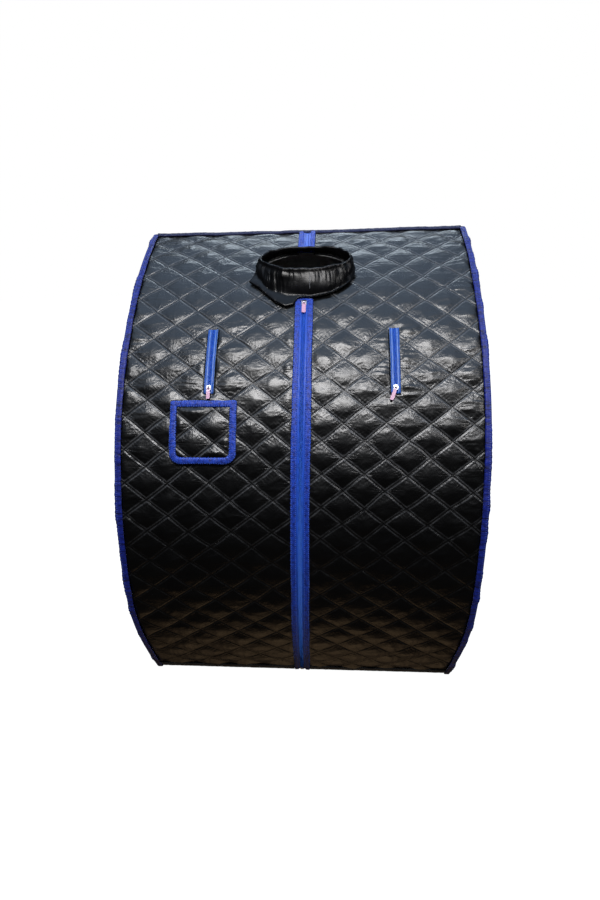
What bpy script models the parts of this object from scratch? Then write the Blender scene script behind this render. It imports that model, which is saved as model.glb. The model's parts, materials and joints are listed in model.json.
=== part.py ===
"""Portable steam sauna: a folding one-person tent of quilted cloth on two closed spring-steel hoops.

Frame: metres, +Z up, the front faces -Y, X is the width. The origin is on the floor, under the middle.
The front and rear walls are arcs of one radius that meet in a bound seam along the top.
A long zipper splits the front into two halves, and each lower half folds outward as a door flap.
"""

import math

import bmesh
import bpy
import numpy as np
from mathutils import Vector

# Driving dimensions, in metres. Angles are in degrees above the horizontal, seen from the arc's centre.
WIDTH = 0.700
WALL_RADIUS = 0.620
CENTRE_Y = 0.220
CENTRE_Z = 0.380
ARC_STEPS = 28

GAP = 0.0003
QUILT = 0.0080
LINING = 0.0012
BINDING = 0.0014
BINDING_WIDTH = 0.0130
HOOP_RADIUS = 0.0025

QUILT_OUT = WALL_RADIUS - BINDING - GAP
QUILT_IN = QUILT_OUT - QUILT
LINING_OUT = QUILT_IN - GAP
LINING_IN = LINING_OUT - LINING
SIDE_OUT = WIDTH / 2 - BINDING - GAP
SIDE_IN = SIDE_OUT - QUILT
SIDE_LINING_OUT = SIDE_IN - GAP
SIDE_LINING_IN = SIDE_LINING_OUT - LINING
PANEL_EDGE = SIDE_IN + 0.0009
LINING_EDGE = SIDE_LINING_IN - GAP

BOTTOM = math.degrees(math.asin(-CENTRE_Z / WALL_RADIUS))
APEX = math.degrees(math.acos(CENTRE_Y / WALL_RADIUS))
STEP = (APEX - BOTTOM) / ARC_STEPS
FLOOR_CLEARANCE = 0.0017
END_MARGIN = 0.1

NECK_ANGLE = 54.0
NECK_HALF_ANGLE = 6.5
NECK_HALF_WIDTH = 0.098
RIM_CENTRE = (-0.140, 0.905)
RIM_HALF_LENGTH = 0.050
RIM_HALF_WIDTH = 0.092
RIM_TILT = 22.4
COLLAR_WALL = 0.003
ELASTIC_RADIUS = 0.0015

ZIP_TOP = 45.2
TOOTH_OUTER = 0.0036
TOOTH_INNER = 0.0012
TAPE_OUTER = 0.0078
RIBBON_OUTER = 0.0172
TOOTH_OUT = 0.6185
TOOTH_IN = 0.6155
TAPE_OUT = 0.6170
FOLD_TOP_X = RIBBON_OUTER + 0.004
FOLD_BOTTOM_X = 0.315
HEM_ANGLE = 2.2
HEM = 0.0012

ARM_X = 0.175
ARM_BOTTOM = 28.4
ARM_TOP = 40.8
ARM_TOOTH_INNER = 0.0008
ARM_TOOTH_OUTER = 0.0021
ARM_TAPE_OUTER = 0.0085

POCKET_X = (-0.245, -0.122)
POCKET_HEIGHTS = (0.555, 0.658)
POCKET_BINDING = 0.012
POCKET_CORNER = 0.022
POCKET_QUILT = 0.005

PORT_Y = 0.165
PORT_Z = 0.100
PORT_HOLE = 0.0210
PORT_BORE = 0.0175
PORT_FLANGE = 0.0280

MAT_HALF_WIDTH = 0.3350
MAT_HALF_DEPTH = 0.2540
MAT = 0.0060

SLIDER_LENGTH = 0.0140
SLIDER_PLATE = 0.0015
LUG_HEIGHT = 0.0042
PIVOT_HEIGHT = 0.0021
PULL_THICKNESS = 0.0012


def clear_scene():
    for obj in list(bpy.data.objects):
        bpy.data.objects.remove(obj)


def material(name, colour, roughness, metallic=0.0):
    made = bpy.data.materials.new(name)
    made.use_nodes = True
    shader = made.node_tree.nodes["Principled BSDF"]
    shader.inputs["Base Color"].default_value = (*colour, 1.0)
    shader.inputs["Roughness"].default_value = roughness
    shader.inputs["Metallic"].default_value = metallic
    return made


def mesh_object(name, vertices, faces, surface):
    """A closed solid from its points and faces, with its faces turned outward."""
    mesh = bpy.data.meshes.new(name)
    mesh.from_pydata([tuple(v) for v in vertices], [], faces)
    work = bmesh.new()
    work.from_mesh(mesh)
    bmesh.ops.recalc_face_normals(work, faces=work.faces)
    work.to_mesh(mesh)
    work.free()
    mesh.shade_smooth()
    mesh.set_sharp_from_angle(angle=math.radians(35))
    mesh.materials.append(surface)
    obj = bpy.data.objects.new(name, mesh)
    bpy.context.scene.collection.objects.link(obj)
    return obj


def as_cutter(obj):
    obj.hide_render = True
    obj.display_type = "WIRE"
    return obj


def boolean(obj, other, operation="DIFFERENCE"):
    modifier = obj.modifiers.new(f"{operation.lower()} {other.name}", "BOOLEAN")
    modifier.operation = operation
    modifier.solver = "EXACT"
    modifier.object = other


def facet(angle):
    """How far a point at this angle lies inside the true circle: every arc piece keeps to the same facets."""
    middle = BOTTOM + (math.floor((angle - BOTTOM) / STEP + 1e-9) + 0.5) * STEP
    return math.cos(math.radians(STEP / 2)) / math.cos(math.radians(angle - middle))


def wall_point(angle, radius, x, front=True):
    """A point on the front or rear arc."""
    reach = radius * facet(angle)
    turned = math.radians(angle)
    y = CENTRE_Y - reach * math.cos(turned)
    return (x, y if front else -y, CENTRE_Z + reach * math.sin(turned))


def angle_at_height(z, radius=QUILT_OUT):
    return math.degrees(math.asin((z - CENTRE_Z) / radius))


def angle_at_depth(y, radius=QUILT_OUT):
    """The angle where the upper front arc is this far in front of the apex line, as a negative y."""
    return math.degrees(math.acos((CENTRE_Y - y) / radius))


def floor_cut(radius):
    """Where an arc of this radius meets its flat lower edge, just off the floor."""
    return angle_at_height(FLOOR_CLEARANCE, radius)


def apex_cut(radius):
    """Where an arc of this radius meets the upright plane through the top seam."""
    return angle_at_depth(-GAP, radius)


def value_at(number, place):
    """A number, or what a function gives for this place."""
    return number(place) if callable(number) else number


def arc_slab(name, low, high, inside, outside, x_from, x_to, surface, front=True, columns=1, also=()):
    """A sheet of cloth along the wall. low and high may depend on the radius, x_from and x_to on the angle.

    Its rows are the facet corners, and the further angles given in also."""
    first, last = value_at(low, outside), value_at(high, outside)
    corners = sorted([*(BOTTOM + i * STEP for i in range(1, ARC_STEPS)), *also])
    between = [angle for angle in corners if first + END_MARGIN < angle < last - END_MARGIN]
    vertices = []
    for radius in (inside, outside):
        for angle in (value_at(low, radius), *between, value_at(high, radius)):
            for x in np.linspace(value_at(x_from, angle), value_at(x_to, angle), columns + 1):
                vertices.append(wall_point(angle, radius, float(x), front))
    across = columns + 1
    row_count = len(between) + 2
    layer = row_count * across
    faces = []
    for i in range(row_count - 1):
        for j in range(columns):
            corner = i * across + j
            quad = (corner, corner + 1, corner + across + 1, corner + across)
            faces.append(quad)
            faces.append(tuple(layer + k for k in quad))
    edge = list(range(across))
    edge += [i * across + columns for i in range(1, row_count)]
    edge += [(row_count - 1) * across + j for j in range(columns - 1, -1, -1)]
    edge += [i * across for i in range(row_count - 2, 0, -1)]
    for here, after in zip(edge, edge[1:] + edge[:1]):
        faces.append((here, after, layer + after, layer + here))
    return mesh_object(name, vertices, faces, surface)


def ring_solid(name, loops, surface):
    """A ring whose cross-section has one corner on each loop. The loops have the same number of points."""
    count = len(loops[0])
    vertices = [point for loop in loops for point in loop]
    faces = []
    for i in range(len(loops)):
        after = (i + 1) % len(loops)
        for j in range(count):
            k = (j + 1) % count
            faces.append((i * count + j, i * count + k, after * count + k, after * count + j))
    return mesh_object(name, vertices, faces, surface)


def prism(name, outline, offset, surface):
    """A flat outline, as points in order, given depth by the offset vector."""
    count = len(outline)
    far = [tuple(Vector(p) + Vector(offset)) for p in outline]
    faces = [tuple(range(count)), tuple(range(2 * count - 1, count - 1, -1))]
    faces += [(i, (i + 1) % count, count + (i + 1) % count, count + i) for i in range(count)]
    return mesh_object(name, [*outline, *far], faces, surface)


def side_profile(inset, x):
    """The closed outline of a side, as far inside the tent's outer surface as inset, front arc first."""
    radius = WALL_RADIUS - inset
    low = math.degrees(math.asin(-(CENTRE_Z - inset) / radius))
    high = math.degrees(math.acos(CENTRE_Y / radius))
    inner = [BOTTOM + i * STEP for i in range(1, ARC_STEPS)]
    front = [wall_point(a, radius, x) for a in [low, *inner, high]]
    return front + [(x, -y, z) for _, y, z in reversed(front[:-1])]


def fold_x(angle):
    """Where the door flap's fold crosses this angle, measured out from the middle."""
    top = CENTRE_Z + QUILT_OUT * math.sin(math.radians(ZIP_TOP))
    z = CENTRE_Z + QUILT_OUT * math.sin(math.radians(angle))
    share = min(max((top - z) / top, 0.0), 1.0)
    return FOLD_TOP_X + share * (FOLD_BOTTOM_X - FOLD_TOP_X)


def neck_cutter():
    turned = math.radians(NECK_ANGLE)
    normal = Vector((0, -math.cos(turned), math.sin(turned)))
    along = Vector((0, math.sin(turned), math.cos(turned)))
    centre = Vector(wall_point(NECK_ANGLE, WALL_RADIUS, 0))
    half = WALL_RADIUS * math.radians(NECK_HALF_ANGLE)
    outline = []
    for i in range(32):
        t = 2 * math.pi * i / 32
        edge = Vector((NECK_HALF_WIDTH * math.cos(t), 0, 0)) + along * half * math.sin(t)
        outline.append(tuple(centre + edge - normal * 0.04))
    return as_cutter(prism("neck_cutter", outline, normal * 0.08, CUTTER))


def arm_cutter(side, name):
    reach = ARM_TAPE_OUTER + GAP
    low, high = ARM_X - reach, ARM_X + reach
    return as_cutter(
        arc_slab(f"arm_cutter_{name}", ARM_BOTTOM - 0.05, ARM_TOP + 0.05, LINING_IN - 0.01,
                 WALL_RADIUS + 0.01, side * low, side * high, CUTTER)
    )


def port_cutter():
    circle = [
        (SIDE_LINING_IN - 0.01, PORT_Y + PORT_HOLE * math.cos(t), PORT_Z + PORT_HOLE * math.sin(t))
        for t in (2 * math.pi * i / 24 for i in range(24))
    ]
    return as_cutter(prism("port_cutter", circle, (0.03, 0, 0), CUTTER))


def front_half(side, name, cutters):
    """One half of the front wall: the part that stays put, its door flap, and the lining behind both."""
    layers = (
        (f"front_panel_{name}", f"front_flap_{name}", QUILT_IN, QUILT_OUT, PANEL_EDGE, SATIN),
        (f"front_lining_{name}", f"flap_lining_{name}", LINING_IN, LINING_OUT, LINING_EDGE, FOIL),
    )
    for fixed_name, flap_name, inside, outside, edge, surface in layers:
        fixed = arc_slab(
            fixed_name, floor_cut, apex_cut, inside, outside,
            lambda a: side * (fold_x(a) + GAP if a < ZIP_TOP + 0.01 else RIBBON_OUTER + GAP),
            side * edge, surface, columns=2, also=(ZIP_TOP, ZIP_TOP + 0.3),
        )
        for cutter in cutters:
            boolean(fixed, cutter)
        arc_slab(
            flap_name, floor_cut, ZIP_TOP, inside, outside,
            side * (RIBBON_OUTER + GAP), lambda a: side * (fold_x(a) - GAP), surface, columns=2,
        )
    arc_slab(
        f"front_hem_{name}", floor_cut, BOTTOM + HEM_ANGLE, QUILT_OUT + GAP, QUILT_OUT + GAP + HEM,
        side * (RIBBON_OUTER + GAP), lambda a: side * (fold_x(a) - GAP), BLACK_TRIM,
    )


def rear_wall():
    for name, inside, outside, edge, surface in (
        ("rear_panel", QUILT_IN, QUILT_OUT, PANEL_EDGE, SATIN),
        ("rear_lining", LINING_IN, LINING_OUT, LINING_EDGE, FOIL),
    ):
        arc_slab(name, floor_cut, apex_cut, inside, outside, -edge, edge, surface, front=False, columns=2)
    edge = WIDTH / 2 - BINDING_WIDTH - GAP
    arc_slab("rear_hem", floor_cut, BOTTOM + HEM_ANGLE, QUILT_OUT + GAP, QUILT_OUT + GAP + HEM,
             -edge, edge, BLACK_TRIM, front=False)


def side_wall(side, name, cutters):
    """The flat side: outer quilt and inner lining."""
    quilt_inset = WALL_RADIUS - QUILT_IN + GAP
    lining_inset = WALL_RADIUS - LINING_IN + GAP
    for node, inset, inner, depth, surface in (
        (f"side_panel_{name}", quilt_inset, SIDE_IN, QUILT, SATIN),
        (f"side_lining_{name}", lining_inset, SIDE_LINING_IN, LINING, FOIL),
    ):
        made = prism(node, side_profile(inset, side * inner), (side * depth, 0, 0), surface)
        for cutter in cutters:
            boolean(made, cutter)


def side_edge(side, name):
    """The spring-steel hoop in the corner of the side, and the ribbon folded round that corner."""
    half = WIDTH / 2
    inset = WALL_RADIUS - QUILT_OUT + 0.0040
    out = SIDE_OUT - 0.0040
    loops = []
    for i in range(6):
        t = 2 * math.pi * i / 6
        loops.append(side_profile(inset + HOOP_RADIUS * math.sin(t), side * (out + HOOP_RADIUS * math.cos(t))))
    ring_solid(f"hoop_{name}", loops, STEEL)
    section = (
        (0.0, half - BINDING_WIDTH),
        (0.0, half - BINDING / 2),
        (BINDING / 2, half),
        (BINDING_WIDTH, half),
        (BINDING_WIDTH, half - BINDING),
        (BINDING, half - BINDING),
        (BINDING, half - BINDING_WIDTH),
    )
    ring_solid(f"edge_binding_{name}", [side_profile(i, side * x) for i, x in section], ROYAL)


def top_seam():
    """The ribbon bound over the seam where the front and rear walls meet."""
    edge = WIDTH / 2 - BINDING_WIDTH - GAP
    reach = angle_at_depth(-0.0075, WALL_RADIUS)
    outer = [wall_point(reach, WALL_RADIUS, -edge), wall_point(APEX, WALL_RADIUS, -edge),
             wall_point(reach, WALL_RADIUS, -edge, front=False)]
    inner_radius = WALL_RADIUS - BINDING
    inner = [wall_point(reach, inner_radius, -edge), wall_point(APEX, inner_radius, -edge),
             wall_point(reach, inner_radius, -edge, front=False)]
    inner[1] = (-edge, 0.0, inner[1][2] + 0.0003)
    prism("top_seam_binding", [*outer, *reversed(inner)], (2 * edge, 0, 0), NAVY)


def collar_loop(half_width, half_length):
    """A loop round the collar's rim."""
    tilt = math.radians(RIM_TILT)
    points = []
    for i in range(32):
        t = 2 * math.pi * i / 32
        reach = half_length * math.sin(t)
        points.append((half_width * math.cos(t), RIM_CENTRE[0] + reach * math.cos(tilt),
                       RIM_CENTRE[1] + reach * math.sin(tilt)))
    return points


def neck_loop(grow):
    """A loop on the wall round the neck hole, this far outside its edge."""
    radius = QUILT_OUT + GAP
    half = NECK_HALF_ANGLE + math.degrees(grow / WALL_RADIUS)
    return [
        wall_point(NECK_ANGLE + half * math.sin(t), radius, (NECK_HALF_WIDTH + grow) * math.cos(t))
        for t in (2 * math.pi * i / 32 for i in range(32))
    ]


def collar():
    """The gathered cloth round the neck, and the elastic in its rim."""
    half = COLLAR_WALL / 2
    loops = [
        neck_loop(COLLAR_WALL),
        collar_loop(RIM_HALF_WIDTH + half, RIM_HALF_LENGTH + half),
        collar_loop(RIM_HALF_WIDTH - half, RIM_HALF_LENGTH - half),
        neck_loop(0.0),
    ]
    ring_solid("neck_collar", loops, COLLAR_CLOTH)
    tilt = math.radians(RIM_TILT)
    normal = Vector((0, -math.sin(tilt), math.cos(tilt)))
    rings = []
    for i in range(6):
        t = 2 * math.pi * (i + 0.5) / 6
        lift = normal * (ELASTIC_RADIUS * (math.sin(t) + 1) + GAP)
        out = ELASTIC_RADIUS * math.cos(t)
        rings.append([tuple(Vector(p) + lift) for p in collar_loop(RIM_HALF_WIDTH + out, RIM_HALF_LENGTH + out)])
    ring_solid("collar_elastic", rings, BLACK_TRIM)


def main_zipper():
    """The long zipper down the front: a ribbon, a tape and a row of teeth on each door flap."""
    low = angle_at_height(0.0040)
    for side, name in SIDES:
        arc_slab(f"zipper_ribbon_{name}", floor_cut, ZIP_TOP, QUILT_IN, QUILT_OUT,
                 side * (TAPE_OUTER + GAP), side * RIBBON_OUTER, ROYAL)
        arc_slab(f"zipper_tape_{name}", low, ZIP_TOP, TOOTH_IN, TAPE_OUT,
                 side * (TOOTH_OUTER + GAP), side * TAPE_OUTER, AZURE)
        arc_slab(f"zipper_teeth_{name}", low + 1.0, ZIP_TOP, TOOTH_IN, TOOTH_OUT,
                 side * TOOTH_INNER, side * TOOTH_OUTER, AZURE)
    arc_slab("zipper_retainer_box", low, low + 0.9, TOOTH_IN, TOOTH_OUT,
             TOOTH_INNER - 0.0004, TOOTH_OUTER, CHROME)
    arc_slab("zipper_insertion_pin", low, low + 0.9, TOOTH_IN, TOOTH_OUT,
             -TOOTH_OUTER, TOOTH_INNER - 0.0004 - GAP, CHROME)
    front_of_neck = NECK_ANGLE - NECK_HALF_ANGLE - 0.25
    arc_slab("zipper_top_tab", ZIP_TOP + 0.3, front_of_neck, QUILT_IN, QUILT_OUT,
             -RIBBON_OUTER, RIBBON_OUTER, ROYAL)


def crown_band():
    """The same band behind the collar, sewn shut: from the neck hole up to the top seam."""
    low = NECK_ANGLE + NECK_HALF_ANGLE + 0.3
    arc_slab("crown_tape", low, apex_cut, TOOTH_IN, TAPE_OUT, -TAPE_OUTER, TAPE_OUTER, AZURE)
    for side, name in SIDES:
        arc_slab(f"crown_ribbon_{name}", low, apex_cut, QUILT_IN, QUILT_OUT,
                 side * (TAPE_OUTER + GAP), side * RIBBON_OUTER, ROYAL)


def arm_zipper(side, name):
    """A short upright zipper over an arm slit: two tapes and two rows of teeth."""
    for away, place in ((1, "outer"), (-1, "inner")):
        def out(distance):
            return side * (ARM_X + away * distance)

        arc_slab(f"arm_tape_{name}_{place}", ARM_BOTTOM, ARM_TOP, TOOTH_IN, TAPE_OUT,
                 out(ARM_TOOTH_OUTER + GAP), out(ARM_TAPE_OUTER), AZURE)
        arc_slab(f"arm_teeth_{name}_{place}", ARM_BOTTOM, ARM_TOP, TOOTH_IN, TOOTH_OUT,
                 out(ARM_TOOTH_INNER), out(ARM_TOOTH_OUTER), AZURE)


def slider(name, angle, x, half_width, post):
    """A zipper slider: two plates, the post between them that parts the teeth, and the lug for its pull."""
    turned = math.radians(angle)
    normal = Vector((0, -math.cos(turned), math.sin(turned)))
    along = Vector((0, math.sin(turned), math.cos(turned)))
    centre = Vector((x, CENTRE_Y, CENTRE_Z))
    top = TOOTH_OUT + GAP + SLIDER_PLATE
    under = TOOTH_IN - 0.0007

    def at(across, out, up):
        return tuple(centre + Vector((across, 0, 0)) + normal * out + along * up)

    def box(label, half_x, low, high, half_length, surface):
        corners = ((-half_x, low), (half_x, low), (half_x, high), (-half_x, high))
        return prism(label, [at(a, r, -half_length) for a, r in corners], along * 2 * half_length, surface)

    section = (
        (-half_width, top), (half_width, top), (half_width, TOOTH_OUT + GAP), (post, TOOTH_OUT + GAP),
        (post, under), (half_width, under), (half_width, under - SLIDER_PLATE),
        (-half_width, under - SLIDER_PLATE), (-half_width, under), (-post, under),
        (-post, TOOTH_OUT + GAP), (-half_width, TOOTH_OUT + GAP),
    )
    body = prism(f"{name}_slider", [at(a, r, -SLIDER_LENGTH / 2) for a, r in section],
                 along * SLIDER_LENGTH, CHROME)
    lug = box(f"{name}_lug", 0.0012, top - GAP, top + LUG_HEIGHT, 0.0030, CHROME)
    eye = box(f"{name}_eye", 0.0030, top + PIVOT_HEIGHT - 0.0012, top + PIVOT_HEIGHT + 0.0012, 0.0012, CHROME)
    for helper in (lug, eye):
        as_cutter(helper)
    boolean(body, lug, "UNION")
    boolean(body, eye)
    return at, top + PIVOT_HEIGHT


def pull(name, at, pivot, half_width, length):
    """A flat pull tab. Its top bar runs through the slider's lug and it lies down the slope from there."""
    half = PULL_THICKNESS / 2
    outer = ((-half_width, half), (half_width, half), (half_width, -length), (-half_width, -length))
    hole = ((-0.0020, -half), (0.0020, -half), (0.0020, -0.0052), (-0.0020, -0.0052))
    loops = []
    for outline, face in ((outer, half), (outer, -half), (hole, -half), (hole, half)):
        loops.append([at(a, pivot + face, up) for a, up in outline])
    ring_solid(f"{name}_pull", loops, PULL)


def pocket():
    """The patch pocket on the left half, and the ribbon round its edge, with round lower corners."""
    low, high = (angle_at_height(z) for z in POCKET_HEIGHTS)
    left, right = POCKET_X
    inside = QUILT_OUT + GAP
    outside = inside + POCKET_QUILT
    turn = math.degrees(1 / WALL_RADIUS)
    band = POCKET_BINDING * turn

    def corner_inset(angle):
        rise = max(POCKET_CORNER - (angle - low) / turn, 0.0)
        return POCKET_CORNER - math.sqrt(max(POCKET_CORNER**2 - rise**2, 0.0))

    corner_rows = [low + POCKET_CORNER * turn * share for share in (0.1, 0.3, 0.6, 1.0)]
    frame = arc_slab(
        "pocket_binding", low, high, inside, outside,
        lambda a: left + corner_inset(a), lambda a: right - corner_inset(a), ROYAL, also=corner_rows,
    )
    window = as_cutter(
        arc_slab("pocket_cutter", low + band, high - band, inside - 0.003, outside + 0.003,
                 left + POCKET_BINDING, right - POCKET_BINDING, CUTTER)
    )
    boolean(frame, window)
    arc_slab("pocket_panel", low + band + GAP * turn, high - band - GAP * turn, inside, outside,
             left + POCKET_BINDING + GAP, right - POCKET_BINDING - GAP, SATIN)


def steam_port():
    """The lined hole that the steam hose goes through, low in the right side."""
    def circle(radius, x):
        return [
            (x, PORT_Y + radius * math.cos(t), PORT_Z + radius * math.sin(t))
            for t in (2 * math.pi * i / 24 for i in range(24))
        ]

    barrel = PORT_HOLE - GAP
    inner_end = SIDE_LINING_IN - 0.0025
    flange = SIDE_OUT + GAP
    section = ((PORT_BORE, inner_end), (PORT_BORE, WIDTH / 2), (PORT_FLANGE, WIDTH / 2),
               (PORT_FLANGE, flange), (barrel, flange), (barrel, inner_end))
    ring_solid("steam_port_grommet", [circle(r, x) for r, x in section], RUBBER)
    washer_out = SIDE_LINING_IN - GAP
    section = ((PORT_HOLE, inner_end), (PORT_HOLE, washer_out), (PORT_FLANGE, washer_out), (PORT_FLANGE, inner_end))
    ring_solid("steam_port_washer", [circle(r, x) for r, x in section], RUBBER)


def floor_mat():
    corners = [(-MAT_HALF_WIDTH, -MAT_HALF_DEPTH, 0), (MAT_HALF_WIDTH, -MAT_HALF_DEPTH, 0),
               (MAT_HALF_WIDTH, MAT_HALF_DEPTH, 0), (-MAT_HALF_WIDTH, MAT_HALF_DEPTH, 0)]
    prism("floor_mat", corners, (0, 0, MAT), MAT_CLOTH)


SIDES = ((-1, "left"), (1, "right"))

clear_scene()
SATIN = material("black_satin", (0.012, 0.012, 0.016), 0.42)
FOIL = material("silver_lining", (0.62, 0.63, 0.65), 0.35, 0.6)
ROYAL = material("royal_blue_ribbon", (0.05, 0.07, 0.52), 0.5)
NAVY = material("navy_ribbon", (0.01, 0.014, 0.08), 0.5)
AZURE = material("azure_zipper_tape", (0.01, 0.16, 0.70), 0.45)
BLACK_TRIM = material("black_trim", (0.015, 0.015, 0.018), 0.6)
COLLAR_CLOTH = material("collar_satin", (0.015, 0.015, 0.02), 0.35)
MAT_CLOTH = material("mat_cloth", (0.03, 0.03, 0.035), 0.7)
STEEL = material("spring_steel", (0.55, 0.56, 0.58), 0.3, 1.0)
CHROME = material("slider_metal", (0.8, 0.8, 0.82), 0.18, 1.0)
PULL = material("pink_pull", (0.90, 0.52, 0.72), 0.35)
RUBBER = material("port_rubber", (0.02, 0.02, 0.022), 0.55)
CUTTER = material("cutter", (1.0, 0.5, 0.0), 0.5)

neck = neck_cutter()
port = port_cutter()
for side, name in SIDES:
    front_half(side, name, (neck, arm_cutter(side, name)))
    side_wall(side, name, (port,) if name == "right" else ())
    side_edge(side, name)
    arm_zipper(side, name)
    hold, pivot = slider(f"{name}_arm", ARM_BOTTOM + 0.8, side * ARM_X, 0.0042, 0.0005)
    pull(f"{name}_arm", hold, pivot, 0.0034, 0.018)
rear_wall()
top_seam()
collar()
main_zipper()
crown_band()
hold, pivot = slider("main", ZIP_TOP - 1.0, 0.0, 0.0055, 0.0008)
pull("main", hold, pivot, 0.0040, 0.026)
pocket()
steam_port()
floor_mat()
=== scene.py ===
"""Looks of the portable steam sauna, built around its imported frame.

Metres, +Z up, the front faces -Y. The front and rear walls are arcs, so their cloth is drawn on a grid of
x and of v, the length along the arc from the floor, and then wrapped round the arc.
"""
import json
import math

import bpy
import numpy as np
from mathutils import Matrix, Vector


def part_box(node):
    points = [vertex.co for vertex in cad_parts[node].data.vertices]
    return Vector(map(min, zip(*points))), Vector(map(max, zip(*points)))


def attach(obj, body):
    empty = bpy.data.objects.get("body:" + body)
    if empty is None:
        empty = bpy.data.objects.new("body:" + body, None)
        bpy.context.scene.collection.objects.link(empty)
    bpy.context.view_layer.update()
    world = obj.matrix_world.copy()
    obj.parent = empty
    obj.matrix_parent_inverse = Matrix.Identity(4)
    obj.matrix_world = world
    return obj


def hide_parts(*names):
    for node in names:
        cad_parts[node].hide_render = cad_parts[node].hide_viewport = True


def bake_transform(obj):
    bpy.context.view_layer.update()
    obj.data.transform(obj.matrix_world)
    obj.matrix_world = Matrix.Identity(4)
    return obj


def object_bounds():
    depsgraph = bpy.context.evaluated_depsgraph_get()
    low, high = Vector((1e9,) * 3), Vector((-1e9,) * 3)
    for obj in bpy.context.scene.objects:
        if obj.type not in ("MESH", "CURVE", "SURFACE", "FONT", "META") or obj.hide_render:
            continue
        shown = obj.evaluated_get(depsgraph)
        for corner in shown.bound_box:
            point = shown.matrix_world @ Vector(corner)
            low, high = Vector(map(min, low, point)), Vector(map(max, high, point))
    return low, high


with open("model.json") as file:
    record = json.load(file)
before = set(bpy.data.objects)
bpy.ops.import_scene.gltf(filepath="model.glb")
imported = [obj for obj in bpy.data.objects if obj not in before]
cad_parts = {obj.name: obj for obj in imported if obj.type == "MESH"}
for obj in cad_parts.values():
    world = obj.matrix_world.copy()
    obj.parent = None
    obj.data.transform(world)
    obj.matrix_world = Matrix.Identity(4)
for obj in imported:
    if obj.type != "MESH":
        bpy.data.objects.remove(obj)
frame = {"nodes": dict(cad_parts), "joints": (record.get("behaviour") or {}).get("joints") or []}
cad_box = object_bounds()

# The walls' arc, as the frame has it: its radius, and its centre behind and above the floor's middle line.
RADIUS = 0.620
CENTRE_Y = 0.220
CENTRE_Z = 0.380
BOTTOM = math.asin(-CENTRE_Z / RADIUS)
HALF_WIDTH = cad_box[1].x

# Radii of the layers, from the inside out.
LINING_IN = 0.6088
LINING_OUT = 0.6100
QUILT_IN = 0.6106
QUILT_EDGE = 0.6152
GROOVE = 0.6148
PILLOW = 0.0029
TRIM = 0.6186

# The quilting: diamonds CELL_W wide and CELL_H high, in lines that cross at each side's own phase.
CELL_W = 0.080
CELL_H = 0.064
RIGHT_PHASE = (0.039, 0.049)
LEFT_PHASE = (-0.012, 0.0295)
REAR_PHASE = (0.0, 0.020)
SIDE_PHASE = (0.0, 0.030)
FRONT_STEPS = 24
REAR_STEPS = 16
SEAM_GAP = 1 / math.hypot(1 / CELL_W, 1 / CELL_H)

NECK_ANGLE = math.radians(54.0)
NECK_HALF_WIDTH = 0.098
NECK_HALF_LENGTH = RADIUS * math.radians(6.5)
RIM_CENTRE = (-0.140, 0.905)
RIM_TILT = math.radians(22.4)
RIM_HALF_WIDTH = 0.092
RIM_HALF_LENGTH = 0.050

BINDING_WIDTH = 0.013
OPEN_START = 0.02
ZIPPER_RISE = math.radians(1.8)
MM = 0.001
NO_SLIT = (9.0, (0.7, 0.9))


# ---------------------------------------------------------------- places and noise

def length_at(angle):
    return RADIUS * (angle - BOTTOM)


def length_at_height(z):
    return length_at(math.asin((z - CENTRE_Z) / RADIUS))


NECK_V = length_at(NECK_ANGLE)
TOP_V = length_at(math.acos((CENTRE_Y + 0.0009) / QUILT_EDGE))
FLOOR_V = length_at_height(0.0030)


def wrap(x, v, radius, rear=False):
    """Points on the front or rear arc, from x, arc length and radius."""
    x, v, radius = np.broadcast_arrays(x, v, radius)
    angle = BOTTOM + v / RADIUS
    y = CENTRE_Y - radius * np.cos(angle)
    y = np.minimum(y, -0.0005)
    return np.stack([x, -y if rear else y, CENTRE_Z + radius * np.sin(angle)], axis=-1)


def smooth(low, high, value):
    t = np.clip((value - low) / (high - low), 0, 1)
    return t * t * (3 - 2 * t)


def noise(u, v, size_u, size_v, seed):
    """Smooth value noise from -1 to 1, with features of the given sizes."""
    table = np.random.default_rng(seed).uniform(-1, 1, (128, 128))
    a, b = u / size_u + 64, v / size_v + 64
    i, j = np.floor(a).astype(int), np.floor(b).astype(int)
    s, t = a - i, b - j
    s, t = s * s * (3 - 2 * s), t * t * (3 - 2 * t)

    def at(di, dj):
        return table[(i + di) % 128, (j + dj) % 128]

    near = at(0, 0) * (1 - s) + at(1, 0) * s
    far = at(0, 1) * (1 - s) + at(1, 1) * s
    return near * (1 - t) + far * t


def crease(u, v, size_u, size_v, seed, sharp=2.0):
    """Narrow ridges from 0 to 1 along the lines where the noise changes sign."""
    return (1 - np.abs(noise(u, v, size_u, size_v, seed))) ** sharp


# ---------------------------------------------------------------- meshes

def add(name, data):
    obj = bpy.data.objects.new(name, data)
    bpy.context.scene.collection.objects.link(obj)
    return obj


def settled(points):
    """The slack cloth stands a little higher on the right at the top and draws in at the floor."""
    points = np.array(points, float)
    x, z = points[:, 0], points[:, 2]
    tilt = 0.0088 * x / 0.35 * np.clip(z / 0.96, 0, 1) ** 2
    gather = 1.007 - 0.042 * (1 - smooth(0.0, 0.24, z)) - 0.024 * smooth(0.60, 0.96, z)
    return np.stack([x * gather, points[:, 1], z + tilt], -1)


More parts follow.
